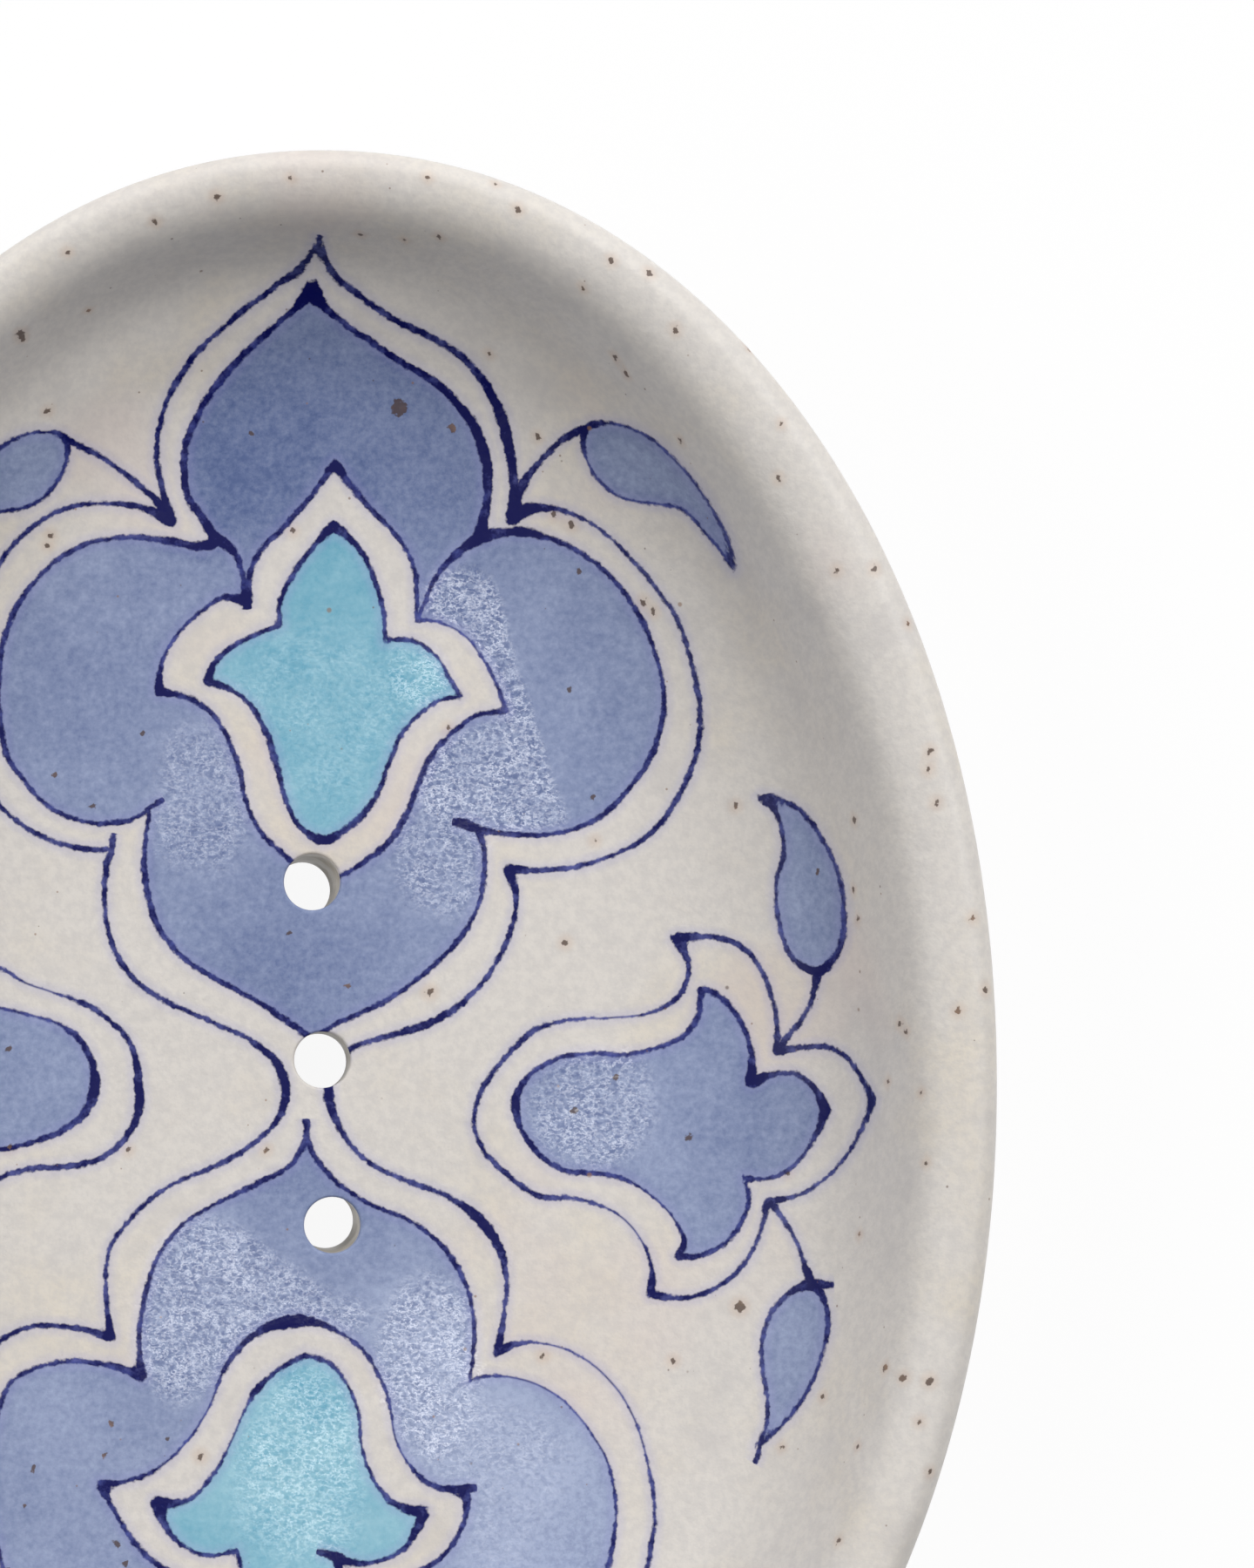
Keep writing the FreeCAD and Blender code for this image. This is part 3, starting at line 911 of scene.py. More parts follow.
def glossy_places(plan):
    """Share of thick gloss on plan points, the greatest of all patches there.

    A patch gives its amount times (0.5 + depth inside its outline / softness), held between 0 and 1.
    """
    share = np.zeros(len(plan))
    for outline, amount, softness in GLOSS_PATCHES:
        depth = inside_distance(plan, [[outline + outline[:1]]])
        share = np.maximum(share, amount * np.clip(0.5 + depth / softness, 0, 1))
    return share


def vertex_areas(points, faces):
    """The surface round each vertex: a quarter of each four-cornered face that meets there."""
    first, second, third, fourth = (points[faces[:, corner]] for corner in range(4))
    areas = np.linalg.norm(np.cross(third - first, fourth - second), axis=1) / 2
    return np.bincount(faces.ravel(), np.repeat(areas / 4, 4), len(points))


def iron_spots(points, top, areas):
    """Depth inside iron spots: each spot is a cone on the vertex nearest to it, highest at its middle.

    The spots of the photograph come first, and seeded ones are scattered evenly over what it doesn't show.
    """
    spots = np.array(IRON_SPOTS)
    places = np.column_stack([on_dish(spots[:, :2]), np.zeros(len(spots))])
    places[:, 2] = well_height(places[:, :2])
    scatter = np.random.default_rng(spot_seed)
    shown_left, shown_low = on_dish([(0, photo_height)])[0]
    hidden = np.flatnonzero(~top | (points[:, 0] < shown_left) | (points[:, 1] < shown_low))
    extra = points[scatter.choice(hidden, hidden_spots, p=areas[hidden] / areas[hidden].sum())]
    radii = np.concatenate([spots[:, 2], scatter.uniform(*hidden_spot_radii, hidden_spots)])
    depth = np.full(len(points), OUTSIDE)
    for place, radius in zip(np.vstack([places, extra]), radii):
        nearest = points[((points - place) ** 2).sum(axis=1).argmin()]
        near = np.flatnonzero(np.abs(points - nearest).max(axis=1) < spot_window)
        depth[near] = np.maximum(depth[near], radius - np.linalg.norm(points[near] - nearest, axis=1))
    return depth


def painted_values(points, top, areas):
    """Values on the body's vertices that its glaze is painted by, for the vertices that the brush reached."""
    plan = points[top, :2]
    left_leaf = mirrored(UPPER_LEAF, across=leaf_mirror_column, shift=(0, left_leaf_drop))
    right_leaves = [UPPER_LEAF, SIDE_LEAF, DROP_LEAF]
    left_leaves = [left_leaf, facing_left(SIDE_LEAF), facing_left(DROP_LEAF)]
    lower_leaves = [mirrored(leaf, down=leaf_mirror_row) for leaf in (UPPER_LEAF, left_leaf)]
    upper_stems = [UPPER_LEAF_STEM, LEFT_LEAF_STEM]
    stems = upper_stems + mirrored(upper_stems, down=leaf_mirror_row) + [SIDE_LEAF_STEM, DROP_LEAF_STEM]
    stems += facing_left([SIDE_LEAF_STEM, DROP_LEAF_STEM]) + SINGLE_STROKES
    left_band = facing_left(TULIP_BAND_PETALS) + [FAR_TULIP_BAND_NOSE]
    left_field = facing_left(TULIP_FIELD_PETALS) + [FAR_TULIP_FIELD_NOSE]
    fields = [UPPER_FIELD, LOWER_FIELD, TULIP_FIELD_PETALS + [TULIP_FIELD_NOSE], left_field]
    fields += right_leaves + left_leaves + lower_leaves
    bands = [MEDALLION_BAND, TULIP_BAND_PETALS + [TULIP_BAND_NOSE], left_band]
    cartouche = inside_distance(plan, [UPPER_CARTOUCHE, LOWER_CARTOUCHE])
    side, within = stroke_distances(plan, stems)
    values = {
        "band_edge": inside_distance(plan, bands),
        "wash_edge": np.minimum(inside_distance(plan, fields), -cartouche),
        "bud_edge": inside_distance(plan, [UPPER_BUD, LOWER_BUD]),
        "stroke_side": side,
        "stroke_within": within,
        "brush_load": blots(plan, BRUSH_LOADS),
        "wash_depth": blots(plan, WASH_DEPTHS),
        "gloss": glossy_places(plan),
    }
    blank = {"brush_load": 0.0, "wash_depth": 0.0, "gloss": 0.0}
    painted = {}
    for name, value in values.items():
        painted[name] = np.full(len(points), blank.get(name, OUTSIDE))
        painted[name][top] = value
    painted["iron_depth"] = iron_spots(points, top, areas)
    return painted


# Materials


def shade(red, green, blue):
    """A colour as a shader takes it, from its red, green and blue out of 255."""
    def linear(value):
        value /= 255
        return value / 12.92 if value <= 0.04045 else ((value + 0.055) / 1.055) ** 2.4
    return (linear(red), linear(green), linear(blue), 1.0)


class Wiring:
    """A node tree under construction. Each call adds nodes and gives back their output."""

    def __init__(self, tree):
        self.tree = tree

    def feed(self, socket, value):
        """Links an output to a socket, or sets the socket to a plain value."""
        if isinstance(value, bpy.types.NodeSocket):
            self.tree.links.new(value, socket)
        else:
            socket.default_value = value

    def node(self, kind, **settings):
        """A bare node with some of its settings."""
        node = self.tree.nodes.new(kind)
        for name, value in settings.items():
            setattr(node, name, value)
        return node

    def math(self, operation, *values, clamp=False):
        """One sum of up to three values, held between 0 and 1 if clamped."""
        node = self.node("ShaderNodeMath", operation=operation, use_clamp=clamp)
        for socket, value in zip(node.inputs, values):
            self.feed(socket, value)
        return node.outputs[0]

    def total(self, *values, clamp=False):
        """All values added up, held between 0 and 1 if clamped."""
        result = values[0]
        for value in values[1:-1]:
            result = self.math("ADD", result, value)
        return self.math("ADD", result, values[-1], clamp=clamp)

    def greatest(self, values):
        """The greatest of some values."""
        result = values[0]
        for value in values[1:]:
            result = self.math("MAXIMUM", result, value)
        return result

    def step(self, value, low, high, to_low=0.0, to_high=1.0):
        """A soft step from one value to another while the input goes from low to high."""
        node = self.node("ShaderNodeMapRange", interpolation_type="SMOOTHSTEP")
        numbers = {"Value": value, "From Min": low, "From Max": high, "To Min": to_low, "To Max": to_high}
        for name, number in numbers.items():
            self.feed(node.inputs[name], number)
        return node.outputs[0]

    def mix(self, share, first, second):
        """A blend of two colours, the second by its share. The numbered sockets are the colour ones."""
        node = self.node("ShaderNodeMix", data_type="RGBA")
        self.feed(node.inputs["Factor"], share)
        self.feed(node.inputs[6], first)
        self.feed(node.inputs[7], second)
        return node.outputs[2]

    def noise(self, where, scale, detail=2.0, roughness=0.5):
        """A smooth noise from 0 to 1, with so many patches to the millimetre."""
        node = self.node("ShaderNodeTexNoise")
        self.feed(node.inputs["Vector"], where)
        for name, number in (("Scale", scale), ("Detail", detail), ("Roughness", roughness)):
            node.inputs[name].default_value = number
        return node.outputs["Fac"]

    def waver(self, where, reach, scale, detail=2.0, roughness=0.5):
        """A smooth noise about zero, half its reach to either side."""
        return self.math("MULTIPLY_ADD", self.noise(where, scale, detail, roughness), reach, -reach / 2)

    def attribute(self, name):
        """A painted value of the vertices."""
        return self.node("ShaderNodeAttribute", attribute_name=name).outputs["Fac"]

    def millimetres(self):
        """Object coordinates in millimetres."""
        place = self.node("ShaderNodeTexCoord").outputs["Object"]
        scaled = self.node("ShaderNodeVectorMath", operation="SCALE")
        self.feed(scaled.inputs[0], place)
        scaled.inputs["Scale"].default_value = METRE
        return scaled.outputs[0]

    def group(self, tree, **inputs):
        """A placed node group with its inputs fed, as its outputs."""
        node = self.node("ShaderNodeGroup", node_tree=tree)
        for name, value in inputs.items():
            self.feed(node.inputs[name], value)
        return node.outputs

    def bump(self, height, strength, distance):
        """A normal from a height, with the height's distance in metres."""
        node = self.node("ShaderNodeBump")
        self.feed(node.inputs["Height"], height)
        node.inputs["Strength"].default_value = strength
        node.inputs["Distance"].default_value = distance
        return node.outputs[0]


def new_group(name, inputs, outputs):
    """An empty node group with named sockets, given as {name: kind}."""
    tree = bpy.data.node_groups.new(name, "ShaderNodeTree")
    for socket, kind in inputs.items():
        tree.interface.new_socket(socket, in_out="INPUT", socket_type=kind)
    for socket, kind in outputs.items():
        tree.interface.new_socket(socket, in_out="OUTPUT", socket_type=kind)
    wiring = Wiring(tree)
    entry = wiring.node("NodeGroupInput").outputs
    leave = wiring.node("NodeGroupOutput").inputs
    return tree, wiring, entry, leave


def brush_line_group():
    """Ink of a brush line: full within a wavering half width of an edge, with a faint bleed beside it.

    The half width grows with the brush's load, swells slowly and frays finely. The line itself trembles.
    """
    tree, wiring, entry, leave = new_group(
        "brush_line",
        {"Edge": "NodeSocketFloat", "Load": "NodeSocketFloat", "Where": "NodeSocketVector"},
        {"Ink": "NodeSocketFloat", "Bleed": "NodeSocketFloat"},
    )
    where = entry["Where"]
    tremor = wiring.waver(where, 0.14, 0.45, 1.0)
    swell = wiring.waver(where, 0.24, 0.22, 1.0)
    fray = wiring.waver(where, 0.44, 1.9, 2.0, 0.6)
    plain = wiring.math("MULTIPLY_ADD", entry["Load"], line_load_width, line_half_width)
    half = wiring.math("MAXIMUM", wiring.total(plain, swell, fray), line_least_width)
    off = wiring.math("ABSOLUTE", wiring.math("ADD", entry["Edge"], tremor))
    past = wiring.math("SUBTRACT", off, half)
    wiring.feed(leave["Ink"], wiring.step(past, line_softness, -line_softness))
    wiring.feed(leave["Bleed"], wiring.step(past, bleed_reach, -bleed_inside))
    return tree


def iron_speck_group():
    """Fine iron specks in a glaze: the middles of scattered cells, each with its own radius."""
    tree, wiring, entry, leave = new_group(
        "iron_specks",
        {"Where": "NodeSocketVector", "Amount": "NodeSocketFloat", "Density": "NodeSocketFloat"},
        {"Speck": "NodeSocketFloat", "Tone": "NodeSocketFloat"},
    )
    cells = wiring.node("ShaderNodeTexVoronoi", feature="F1")
    wiring.feed(cells.inputs["Vector"], entry["Where"])
    wiring.feed(cells.inputs["Scale"], entry["Density"])
    split = wiring.node("ShaderNodeSeparateColor")
    wiring.feed(split.inputs[0], cells.outputs["Color"])
    chosen = wiring.math("SUBTRACT", entry["Amount"], split.outputs[0])
    radius = wiring.math("MULTIPLY", wiring.math("MAXIMUM", chosen, 0.0), speck_radius)
    past = wiring.math("SUBTRACT", cells.outputs["Distance"], radius)
    wiring.feed(leave["Speck"], wiring.step(past, speck_softness, -speck_softness))
    wiring.feed(leave["Tone"], split.outputs[1])
    return tree


def glaze_skin_group():
    """A hand-dipped glaze: soft clouds in its colour, and the height of its fine crinkle and slow waves."""
    tree, wiring, entry, leave = new_group(
        "glaze_skin",
        {"Where": "NodeSocketVector", "White": "NodeSocketColor", "Warm": "NodeSocketColor",
         "Cool": "NodeSocketColor"},
        {"Color": "NodeSocketColor", "Height": "NodeSocketFloat"},
    )
    where = entry["Where"]
    warm = wiring.step(wiring.noise(where, 0.07, 4.0, 0.6), 0.45, 0.75)
    cool = wiring.step(wiring.noise(where, 0.16, 3.0, 0.6), 0.50, 0.80)
    mottle = wiring.step(wiring.noise(where, 1.3, 4.0, 0.7), 0.35, 0.65)
    colour = wiring.mix(warm, entry["White"], entry["Warm"])
    colour = wiring.mix(wiring.math("MULTIPLY", cool, cool_share), colour, entry["Cool"])
    colour = wiring.mix(wiring.math("MULTIPLY", mottle, mottle_share), colour, entry["Cool"])
    wiring.feed(leave["Color"], colour)
    crinkle = wiring.noise(where, 1.7, 2.0, 0.6)
    waves = wiring.noise(where, 0.35, 2.0)
    wiring.feed(leave["Height"], wiring.math("MULTIPLY_ADD", waves, slow_wave_rise, crinkle))
    return tree


def new_material(name):
    """A material with an empty tree, its wiring and its shader."""
    material = bpy.data.materials.new(name)
    material.use_nodes = True
    tree = material.node_tree
    tree.nodes.clear()
    wiring = Wiring(tree)
    shader = wiring.node("ShaderNodeBsdfPrincipled")
    output = wiring.node("ShaderNodeOutputMaterial")
    tree.links.new(shader.outputs[0], output.inputs["Surface"])
    return material, wiring, shader


# Colours of the glaze, the painting and the clay
glaze_white = shade(210, 205, 199)
glaze_warm = shade(211, 203, 190)
glaze_cool = shade(190, 186, 184)
glaze_pink = shade(206, 190, 184)
wash_thin = shade(158, 169, 197)
wash_deep = shade(84, 100, 143)
turquoise_thin = shade(146, 189, 204)
turquoise_deep = shade(92, 156, 181)
bleed_blue = shade(150, 150, 200)
ink_thin = shade(60, 70, 146)
ink_deep = shade(6, 10, 78)
iron_dark = shade(76, 58, 50)
iron_ochre = shade(146, 110, 82)
iron_halo = shade(196, 172, 154)
clay_bare = shade(176, 150, 122)
clay_dark = shade(138, 112, 90)
# Down a drain hole: bare clay, darkened further as painted shade of the hole's wall
hole_clay_and_painted_shade = shade(148, 136, 116)
stage_pale = shade(236, 236, 236)


def washed(wiring, where, colour, glossy):
    """A colour under the blue wash and the turquoise.

    The wash's depth is the painted one plus clouds, grains and a pool along its edge. The turquoise has the
    painted depth, the grains and clouds of its own.
    """
    wash_edge = wiring.attribute("wash_edge")
    wash_depth = wiring.attribute("wash_depth")
    pits = wiring.step(wiring.noise(where, 2.4, 2.0, 0.6), 0.40, 0.60, 0.0, pit_depth)
    grain = wiring.math("MULTIPLY_ADD", glossy, pits, wiring.waver(where, 1.0, 1.7, 4.0, 0.7))
    cloud = wiring.waver(where, 0.5, 0.22, 3.0, 0.6)
    pool = wiring.step(wash_edge, 1.4, 0.2, 0.0, pool_depth)
    depth = wiring.total(wash_depth, cloud, grain, pool, plain_wash_depth, clamp=True)
    wash = wiring.mix(depth, wash_thin, wash_deep)
    colour = wiring.mix(wiring.step(wash_edge, -0.10, 0.06), colour, wash)
    bud_depth = wiring.total(wiring.noise(where, 0.30, 3.0, 0.6), grain, wash_depth, clamp=True)
    turquoise = wiring.mix(bud_depth, turquoise_thin, turquoise_deep)
    return wiring.mix(wiring.step(wiring.attribute("bud_edge"), -0.10, 0.06), colour, turquoise)


def inked(wiring, where, colour, lines):
    """A colour under the brush lines, and where their ink lies.

    The ink's fullness is a share of the brush's load plus beads of a noise. Full ink is darker and covers
    more.
    """
    load = wiring.attribute("brush_load")
    past_end = wiring.step(wiring.attribute("stroke_within"), 0.0, -stroke_end, 0.0, stroke_end_push)
    edges = [wiring.attribute(name) for name in ("band_edge", "wash_edge", "bud_edge")]
    edges.append(wiring.math("ADD", wiring.math("ABSOLUTE", wiring.attribute("stroke_side")), past_end))
    drawn = [wiring.group(lines, Edge=edge, Load=load, Where=where) for edge in edges]
    ink = wiring.greatest([line["Ink"] for line in drawn])
    bleed = wiring.greatest([line["Bleed"] for line in drawn])
    colour = wiring.mix(wiring.math("MULTIPLY", bleed, bleed_share), colour, bleed_blue)
    beads = wiring.math("MULTIPLY_ADD", wiring.noise(where, 1.0, 3.0, 0.65), bead_contrast, bead_shift)
    fullness = wiring.math("MULTIPLY_ADD", load, load_fullness, beads, clamp=True)
    thickness = wiring.math("MULTIPLY_ADD", fullness, 1 - thin_ink_cover, thin_ink_cover)
    cover = wiring.math("MULTIPLY", ink, thickness)
    return wiring.mix(cover, colour, wiring.mix(fullness, ink_thin, ink_deep)), ink


def speckled(wiring, where, colour, iron_depth, specks):
    """A colour under ragged iron spots and two sizes of fine specks."""
    ragged = wiring.waver(where, 0.9, 2.2, 3.0, 0.6)
    blot = wiring.step(wiring.math("ADD", iron_depth, ragged), -0.03, 0.10)
    tone = wiring.step(wiring.noise(where, 0.5, 1.0), 0.50, 0.85)
    iron = wiring.mix(tone, iron_dark, iron_ochre)
    colour = wiring.mix(wiring.math("MULTIPLY", blot, spot_share), colour, iron)
    for density, amount in FINE_SPECKS:
        fine = wiring.group(specks, Where=where, Amount=amount, Density=density)
        fine_iron = wiring.mix(fine["Tone"], iron_dark, iron_ochre)
        colour = wiring.mix(wiring.math("MULTIPLY", fine["Speck"], speck_share), colour, fine_iron)
    return colour


def crinkled_gloss(wiring, where, glossy, ink):
    """Coat of the thick glaze: bright along fine drawn-out veins, faint between them and weak over ink.

    A vein runs where a stretched noise passes through its middle value.
    """
    drawn_out = wiring.node("ShaderNodeMapping")
    wiring.feed(drawn_out.inputs["Vector"], where)
    drawn_out.inputs["Rotation"].default_value = (0, 0, vein_turn)
    drawn_out.inputs["Scale"].default_value = vein_stretch
    off_middle = wiring.math("SUBTRACT", wiring.noise(drawn_out.outputs[0], 1.8, 3.0, 0.7), 0.5)
    veins = wiring.step(wiring.math("ABSOLUTE", off_middle), vein_width, 0.0)
    thick = wiring.step(wiring.noise(where, 0.45, 3.0, 0.6), 0.35, 0.62, 0.5, 1.0)
    thick_veins = wiring.math("MULTIPLY", veins, thick)
    crinkle = wiring.math("MULTIPLY_ADD", thick_veins, 1 - between_veins, between_veins)
    bare_of_ink = wiring.math("MULTIPLY_ADD", ink, -coat_lost_to_ink, 1.0)
    return wiring.math("MULTIPLY", wiring.math("MULTIPLY", glossy, bare_of_ink), crinkle)


def painted_glaze(lines, specks, skin):
    """White glaze over stoneware, with cobalt lines, blue wash and turquoise, iron specks and a soft gloss.

    Each painted layer covers the one below where its distance attribute says, from the wash up to the iron.
    """
    material, wiring, shader = new_material("painted_glaze")
    where = wiring.millimetres()
    glossy = wiring.attribute("gloss")
    iron_depth = wiring.attribute("iron_depth")
    base = wiring.group(skin, Where=where, White=glaze_white, Warm=glaze_warm, Cool=glaze_cool)
    pinks = wiring.step(wiring.noise(where, 0.055, 3.0), 0.55, 0.75)
    colour = wiring.mix(wiring.math("MULTIPLY", pinks, pink_share), base["Color"], glaze_pink)
    colour = wiring.mix(wiring.step(iron_depth, -0.75, 0.05, 0.0, halo_share), colour, iron_halo)
    colour = washed(wiring, where, colour, glossy)
    colour, ink = inked(wiring, where, colour, lines)
    colour = speckled(wiring, where, colour, iron_depth, specks)
    # Down the drain holes the colour turns to bare clay with painted shade, darker than the real clay
    bare = wiring.step(wiring.attribute("hole_depth"), 0.15, 0.8)
    wiring.feed(shader.inputs["Base Color"], wiring.mix(bare, colour, hole_clay_and_painted_shade))
    wiring.feed(shader.inputs["Normal"], wiring.bump(base["Height"], 0.35, 0.00012))
    wiring.feed(shader.inputs["Roughness"], wiring.step(wiring.noise(where, 0.5), 0.3, 0.7, 0.30, 0.42))
    wiring.feed(shader.inputs["Coat Weight"], crinkled_gloss(wiring, where, glossy, ink))
    shader.inputs["Specular IOR Level"].default_value = glaze_specular
    shader.inputs["Coat Roughness"].default_value = coat_roughness
    shader.inputs["Coat IOR"].default_value = coat_index
    return material


def foot_clay(specks, skin):
    """Glazed stub feet: white down the sides, worn off to bare stoneware on the ground face."""
    material, wiring, shader = new_material("foot_clay")
    where = wiring.millimetres()
    base = wiring.group(skin, Where=where, White=glaze_white, Warm=glaze_warm, Cool=glaze_cool)
    height = wiring.node("ShaderNodeSeparateXYZ")
    wiring.feed(height.inputs[0], where)
    ragged = wiring.math("ADD", wiring.noise(where, 0.9, 3.0), height.outputs["Z"])
    bare = wiring.step(ragged, wear_heights[1], wear_heights[0])
    clay = wiring.mix(wiring.noise(where, 2.5, 4.0, 0.65), clay_bare, clay_dark)
    fine = wiring.group(specks, Where=where, Amount=FOOT_SPECKS[1], Density=FOOT_SPECKS[0])
    fine_iron = wiring.mix(fine["Tone"], iron_dark, iron_ochre)
    colour = wiring.mix(wiring.math("MULTIPLY", fine["Speck"], foot_speck_share), base["Color"], fine_iron)
    wiring.feed(shader.inputs["Base Color"], wiring.mix(bare, colour, clay))
    wiring.feed(shader.inputs["Roughness"], wiring.step(bare, 0.0, 1.0, 0.25, 0.85))
    wiring.feed(shader.inputs["Normal"], wiring.bump(base["Height"], 0.5, 0.0002))
    return material


# Pieces


def make_piece(name, points, quads, material, map_corners=None, triangles=np.zeros((0, 3), int)):
    """A smooth mesh object at the origin from points in millimetres, four-cornered faces and triangles."""
    mesh = bpy.data.meshes.new(name)
    corners = np.concatenate([quads.ravel(), triangles.ravel()]).astype(np.int32)
    sizes = np.repeat([4, 3], [len(quads), len(triangles)])
    starts = np.cumsum(sizes) - sizes
    mesh.vertices.add(len(points))
    mesh.vertices.foreach_set("co", (points / METRE).ravel())
    mesh.loops.add(len(corners))
    mesh.loops.foreach_set("vertex_index", corners)
    mesh.polygons.add(len(sizes))
    mesh.polygons.foreach_set("loop_start", starts.astype(np.int32))
    mesh.polygons.foreach_set("use_smooth", np.ones(len(sizes), bool))
    if map_corners is not None:
        layer = mesh.uv_layers.new(name="OFBake")
        layer.uv.foreach_set("vector", map_corners.ravel())
    mesh.update(calc_edges=True)
    mesh.materials.append(material)
    piece = bpy.data.objects.new(name, mesh)
    bpy.context.scene.collection.objects.link(piece)
    return piece


def add_dish_body(material):
    """The glazed dish, with the values that it is painted by on its vertices."""
    points, faces, map_corners, top, in_hole = body_skin()
    hole_depth = np.where(in_hole, floor_height - points[:, 2], 0)
    top |= in_hole & (hole_depth < 2 * drain_lip_radius)
    points[:, 2] += hand_waves(points)
    piece = make_piece("glazed_dish", points, faces, material, map_corners)
    painted = painted_values(points, top, vertex_areas(points, faces))
    painted["hole_depth"] = hole_depth
    for name, values in painted.items():
        layer = piece.data.attributes.new(name, "FLOAT", "POINT")
        layer.data.foreach_set("value", values)
    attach(piece, "root")
    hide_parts("dish_body")


def foot_profile(top_radius, height):
    """A foot's profile as rows of (radius, height), from beside the ground's middle to beside the lid's.

    It runs over a soft edge, up the tapered side and out into the smear of clay that luted it to the
    underside. The smear flares with the fifth power of the way up.
    """
    edge_centre = (top_radius - foot_taper - foot_edge_radius, foot_edge_radius)
    edge = arc(edge_centre, foot_edge_radius, 270, 345, foot_edge_points)
    start_radius, start_height = edge[-1]
    rise = np.linspace(0, 1, foot_side_points)[1:]
    radius = start_radius + (top_radius - foot_neck - start_radius) * rise + foot_smear * rise ** 5
    side = np.column_stack([radius, start_height + (height - start_height) * rise])
    ground = np.linspace((0, 0), edge[0], foot_ground_points)[1:-1]
    lid = np.linspace(side[-1], (0, height), foot_lid_points)[1:-1]
    return np.vstack([ground, edge, side, lid])


def add_foot(node, seed, material):
    """A stub foot: its profile carried round a circle, out of round and dented, closed at both poles.

    Sines of the turn draw the radius in, and a sine of the height times one of the turn dents the side.
    """
    low, high = (np.array(corner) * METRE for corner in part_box(node))
    middle = (low + high) / 2
    height = high[2]
    profile = foot_profile((high[0] - low[0]) / 2, height)
    turn = np.linspace(0, 2 * math.pi, foot_columns, endpoint=False)
    hand = np.random.default_rng(seed).uniform(0, 2 * math.pi, 3)
    wobble = np.zeros(foot_columns)
    for (waves, share), phase in zip(FOOT_WOBBLES, hand):
        wobble += share * (np.sin(waves * turn + phase) - 1)
    heights = profile[:, 1:]
    climb = np.sin(foot_dent_climb * heights + hand[0])
    dent = foot_dent * climb * np.sin(foot_dent_turns * turn + hand[1])
    on_side = (heights > foot_dent_margin) & (heights < height - foot_dent_margin)
    radius = profile[:, :1] * (1 + wobble) - np.abs(dent) * on_side
    x = middle[0] + radius * np.cos(turn)
    y = middle[1] + radius * np.sin(turn)
    z = np.broadcast_to(heights, x.shape)
    points = np.stack([x, y, z], axis=-1).reshape(-1, 3)
    numbers = np.arange(len(points)).reshape(x.shape)
    around = np.roll(numbers, -1, axis=1)
    faces = np.stack([numbers[:-1], around[:-1], around[1:], numbers[1:]], axis=-1).reshape(-1, 4)
    poles = np.array([(middle[0], middle[1], 0), (middle[0], middle[1], height)])
    ground_pole = np.full(foot_columns, len(points))
    lid_pole = ground_pole + 1
    triangles = np.vstack([
        np.column_stack([ground_pole, around[0], numbers[0]]),
        np.column_stack([lid_pole, numbers[-1], around[-1]]),
    ])
    points = np.vstack([points, poles])
    piece = make_piece(node.replace("foot", "luted_foot"), points, faces, material, triangles=triangles)
    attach(piece, "root")
    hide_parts(node)


# Stage, light and camera


def add_floor():
    """A wide pale floor that looks white to the camera and still takes the dish's soft shadow."""
    half = stage_half_size
    points = np.array([(-half, -half, 0), (half, -half, 0), (half, half, 0), (-half, half, 0)])
    material, wiring, shader = new_material("pale_floor")
    shader.inputs["Base Color"].default_value = stage_pale
    shader.inputs["Roughness"].default_value = stage_roughness
    glow = wiring.node("ShaderNodeEmission")
    glow.inputs["Strength"].default_value = 1.0
    path = wiring.node("ShaderNodeLightPath").outputs
    seen = wiring.greatest([path["Is Camera Ray"], path["Is Glossy Ray"], path["Is Transmission Ray"]])
    blend = wiring.node("ShaderNodeMixShader")
    wiring.feed(blend.inputs[0], wiring.math("MULTIPLY", seen, stage_glow))
    wiring.feed(blend.inputs[1], shader.outputs[0])
    wiring.feed(blend.inputs[2], glow.outputs[0])
    output = material.node_tree.get_output_node("ALL")
    wiring.feed(output.inputs["Surface"], blend.outputs[0])
    floor = make_piece("pale_floor", points, np.array([[0, 1, 2, 3]]), material)


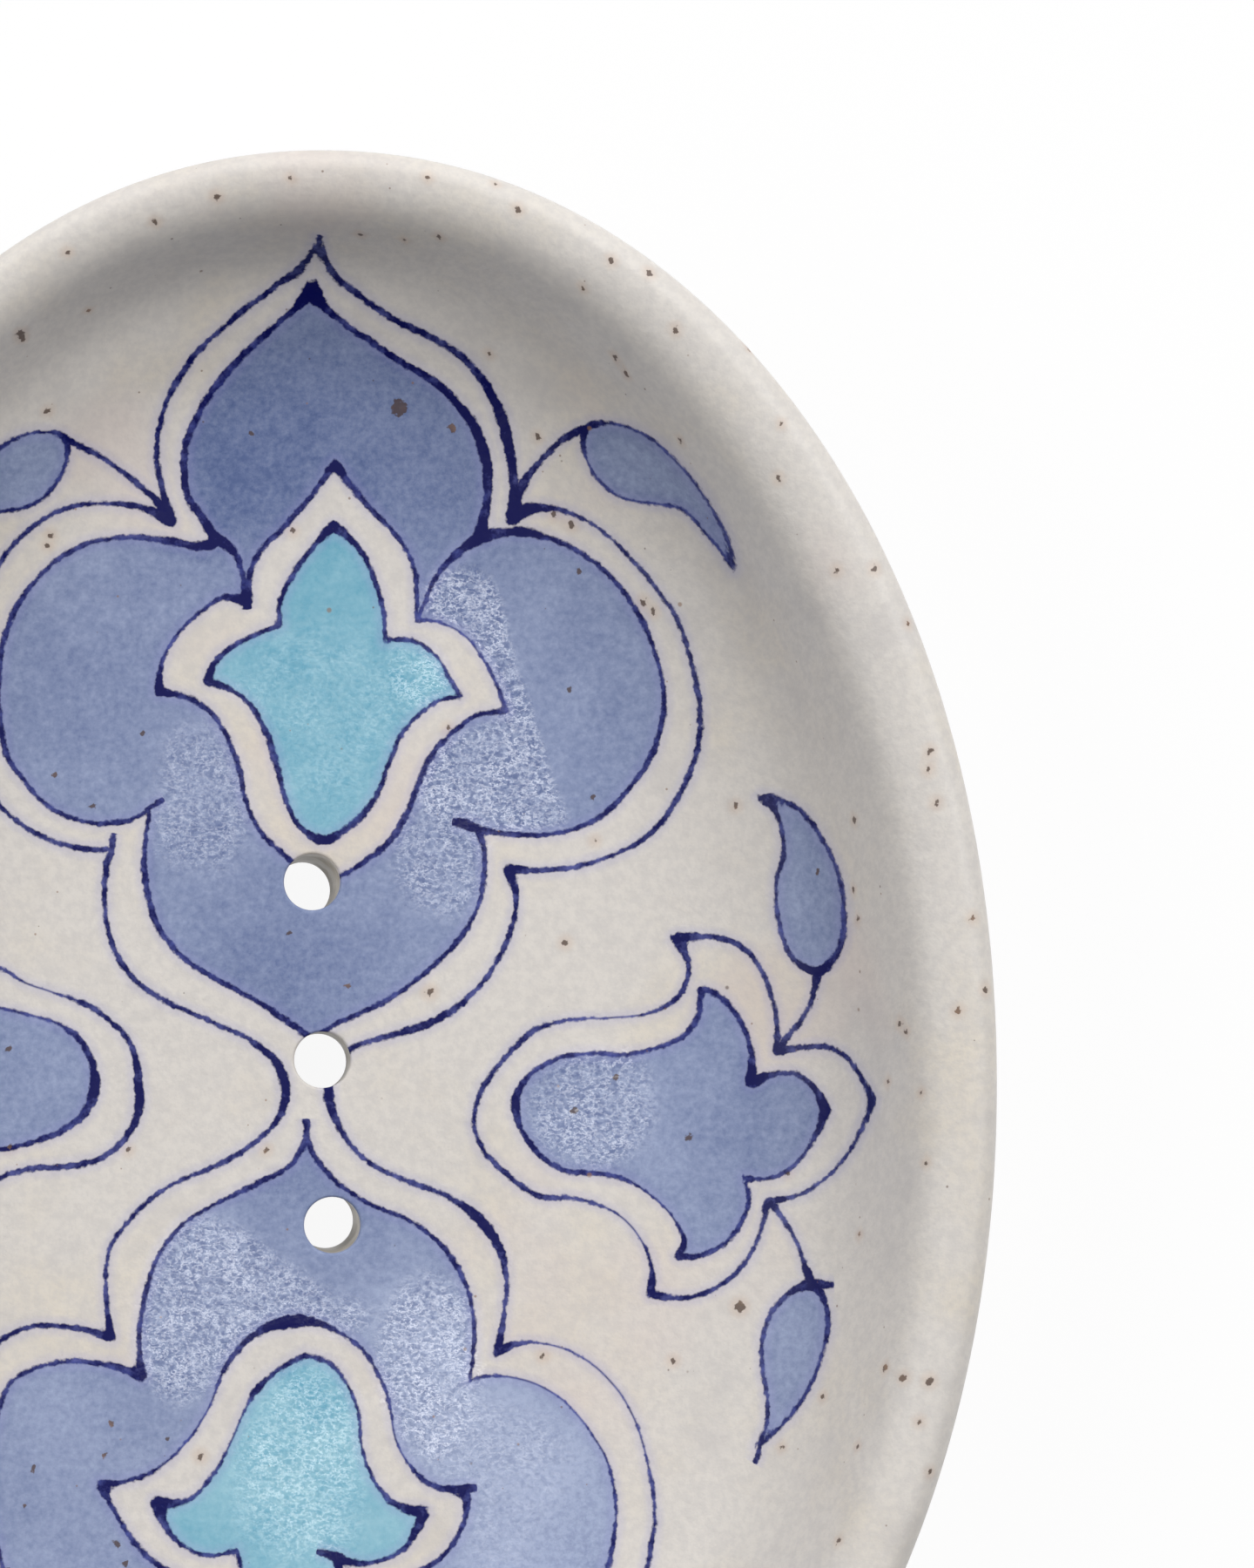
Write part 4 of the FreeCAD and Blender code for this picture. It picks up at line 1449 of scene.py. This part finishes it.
def add_panel(name, place, target, size, power):
    """A rectangular soft lamp at a place, turned towards a target, all in millimetres."""
    lamp = bpy.data.lights.new(name, "AREA")
    lamp.shape = "RECTANGLE"
    lamp.size, lamp.size_y = (side / METRE for side in size)
    lamp.energy = power
    holder = bpy.data.objects.new(name, lamp)
    holder.location = [value / METRE for value in place]
    direction = Vector([end - start for start, end in zip(place, target)])
    holder.rotation_euler = direction.to_track_quat("-Z", "Y").to_euler()
    bpy.context.scene.collection.objects.link(holder)


def from_bearing(bearing, elevation, distance):
    """A place at a bearing from +X and an elevation, in degrees, and a distance from the dish's middle."""
    turn, lift = math.radians(bearing), math.radians(elevation)
    flat = distance * math.cos(lift)
    return (flat * math.cos(turn), flat * math.sin(turn), distance * math.sin(lift))


def add_light():
    """The softboxes, the window overhead and a faint even light from all round."""
    for name, bearing, elevation, power in SOFTBOXES:
        place = from_bearing(bearing, elevation, softbox_distance)
        add_panel(name, place, softbox_target, softbox_size, power)
    add_panel("overhead_window", window_place, (*window_place[:2], 0), window_size, window_power)
    world = bpy.data.worlds.new("studio")
    world.use_nodes = True
    background = world.node_tree.nodes["Background"]
    background.inputs["Color"].default_value = (1, 1, 1, 1)
    background.inputs["Strength"].default_value = world_strength
    bpy.context.scene.world = world


def add_camera():
    """The camera, which looks straight down as the photograph does."""
    data = bpy.data.cameras.new("camera")
    data.lens = camera_lens
    data.sensor_width = camera_sensor
    data.clip_start, data.clip_end = 0.01, 20  # in metres
    holder = bpy.data.objects.new("camera", data)
    holder.location = camera_place / METRE
    bpy.context.scene.collection.objects.link(holder)
    bpy.context.scene.camera = holder


line_group = brush_line_group()
speck_group = iron_speck_group()
skin_group = glaze_skin_group()
add_dish_body(painted_glaze(line_group, speck_group, skin_group))
clay = foot_clay(speck_group, skin_group)
for seed, foot in enumerate(("foot_front_left", "foot_front_right", "foot_back_left", "foot_back_right")):
    add_foot(foot, seed, clay)
add_floor()
add_light()
add_camera()
bpy.context.scene.view_settings.view_transform = "Standard"
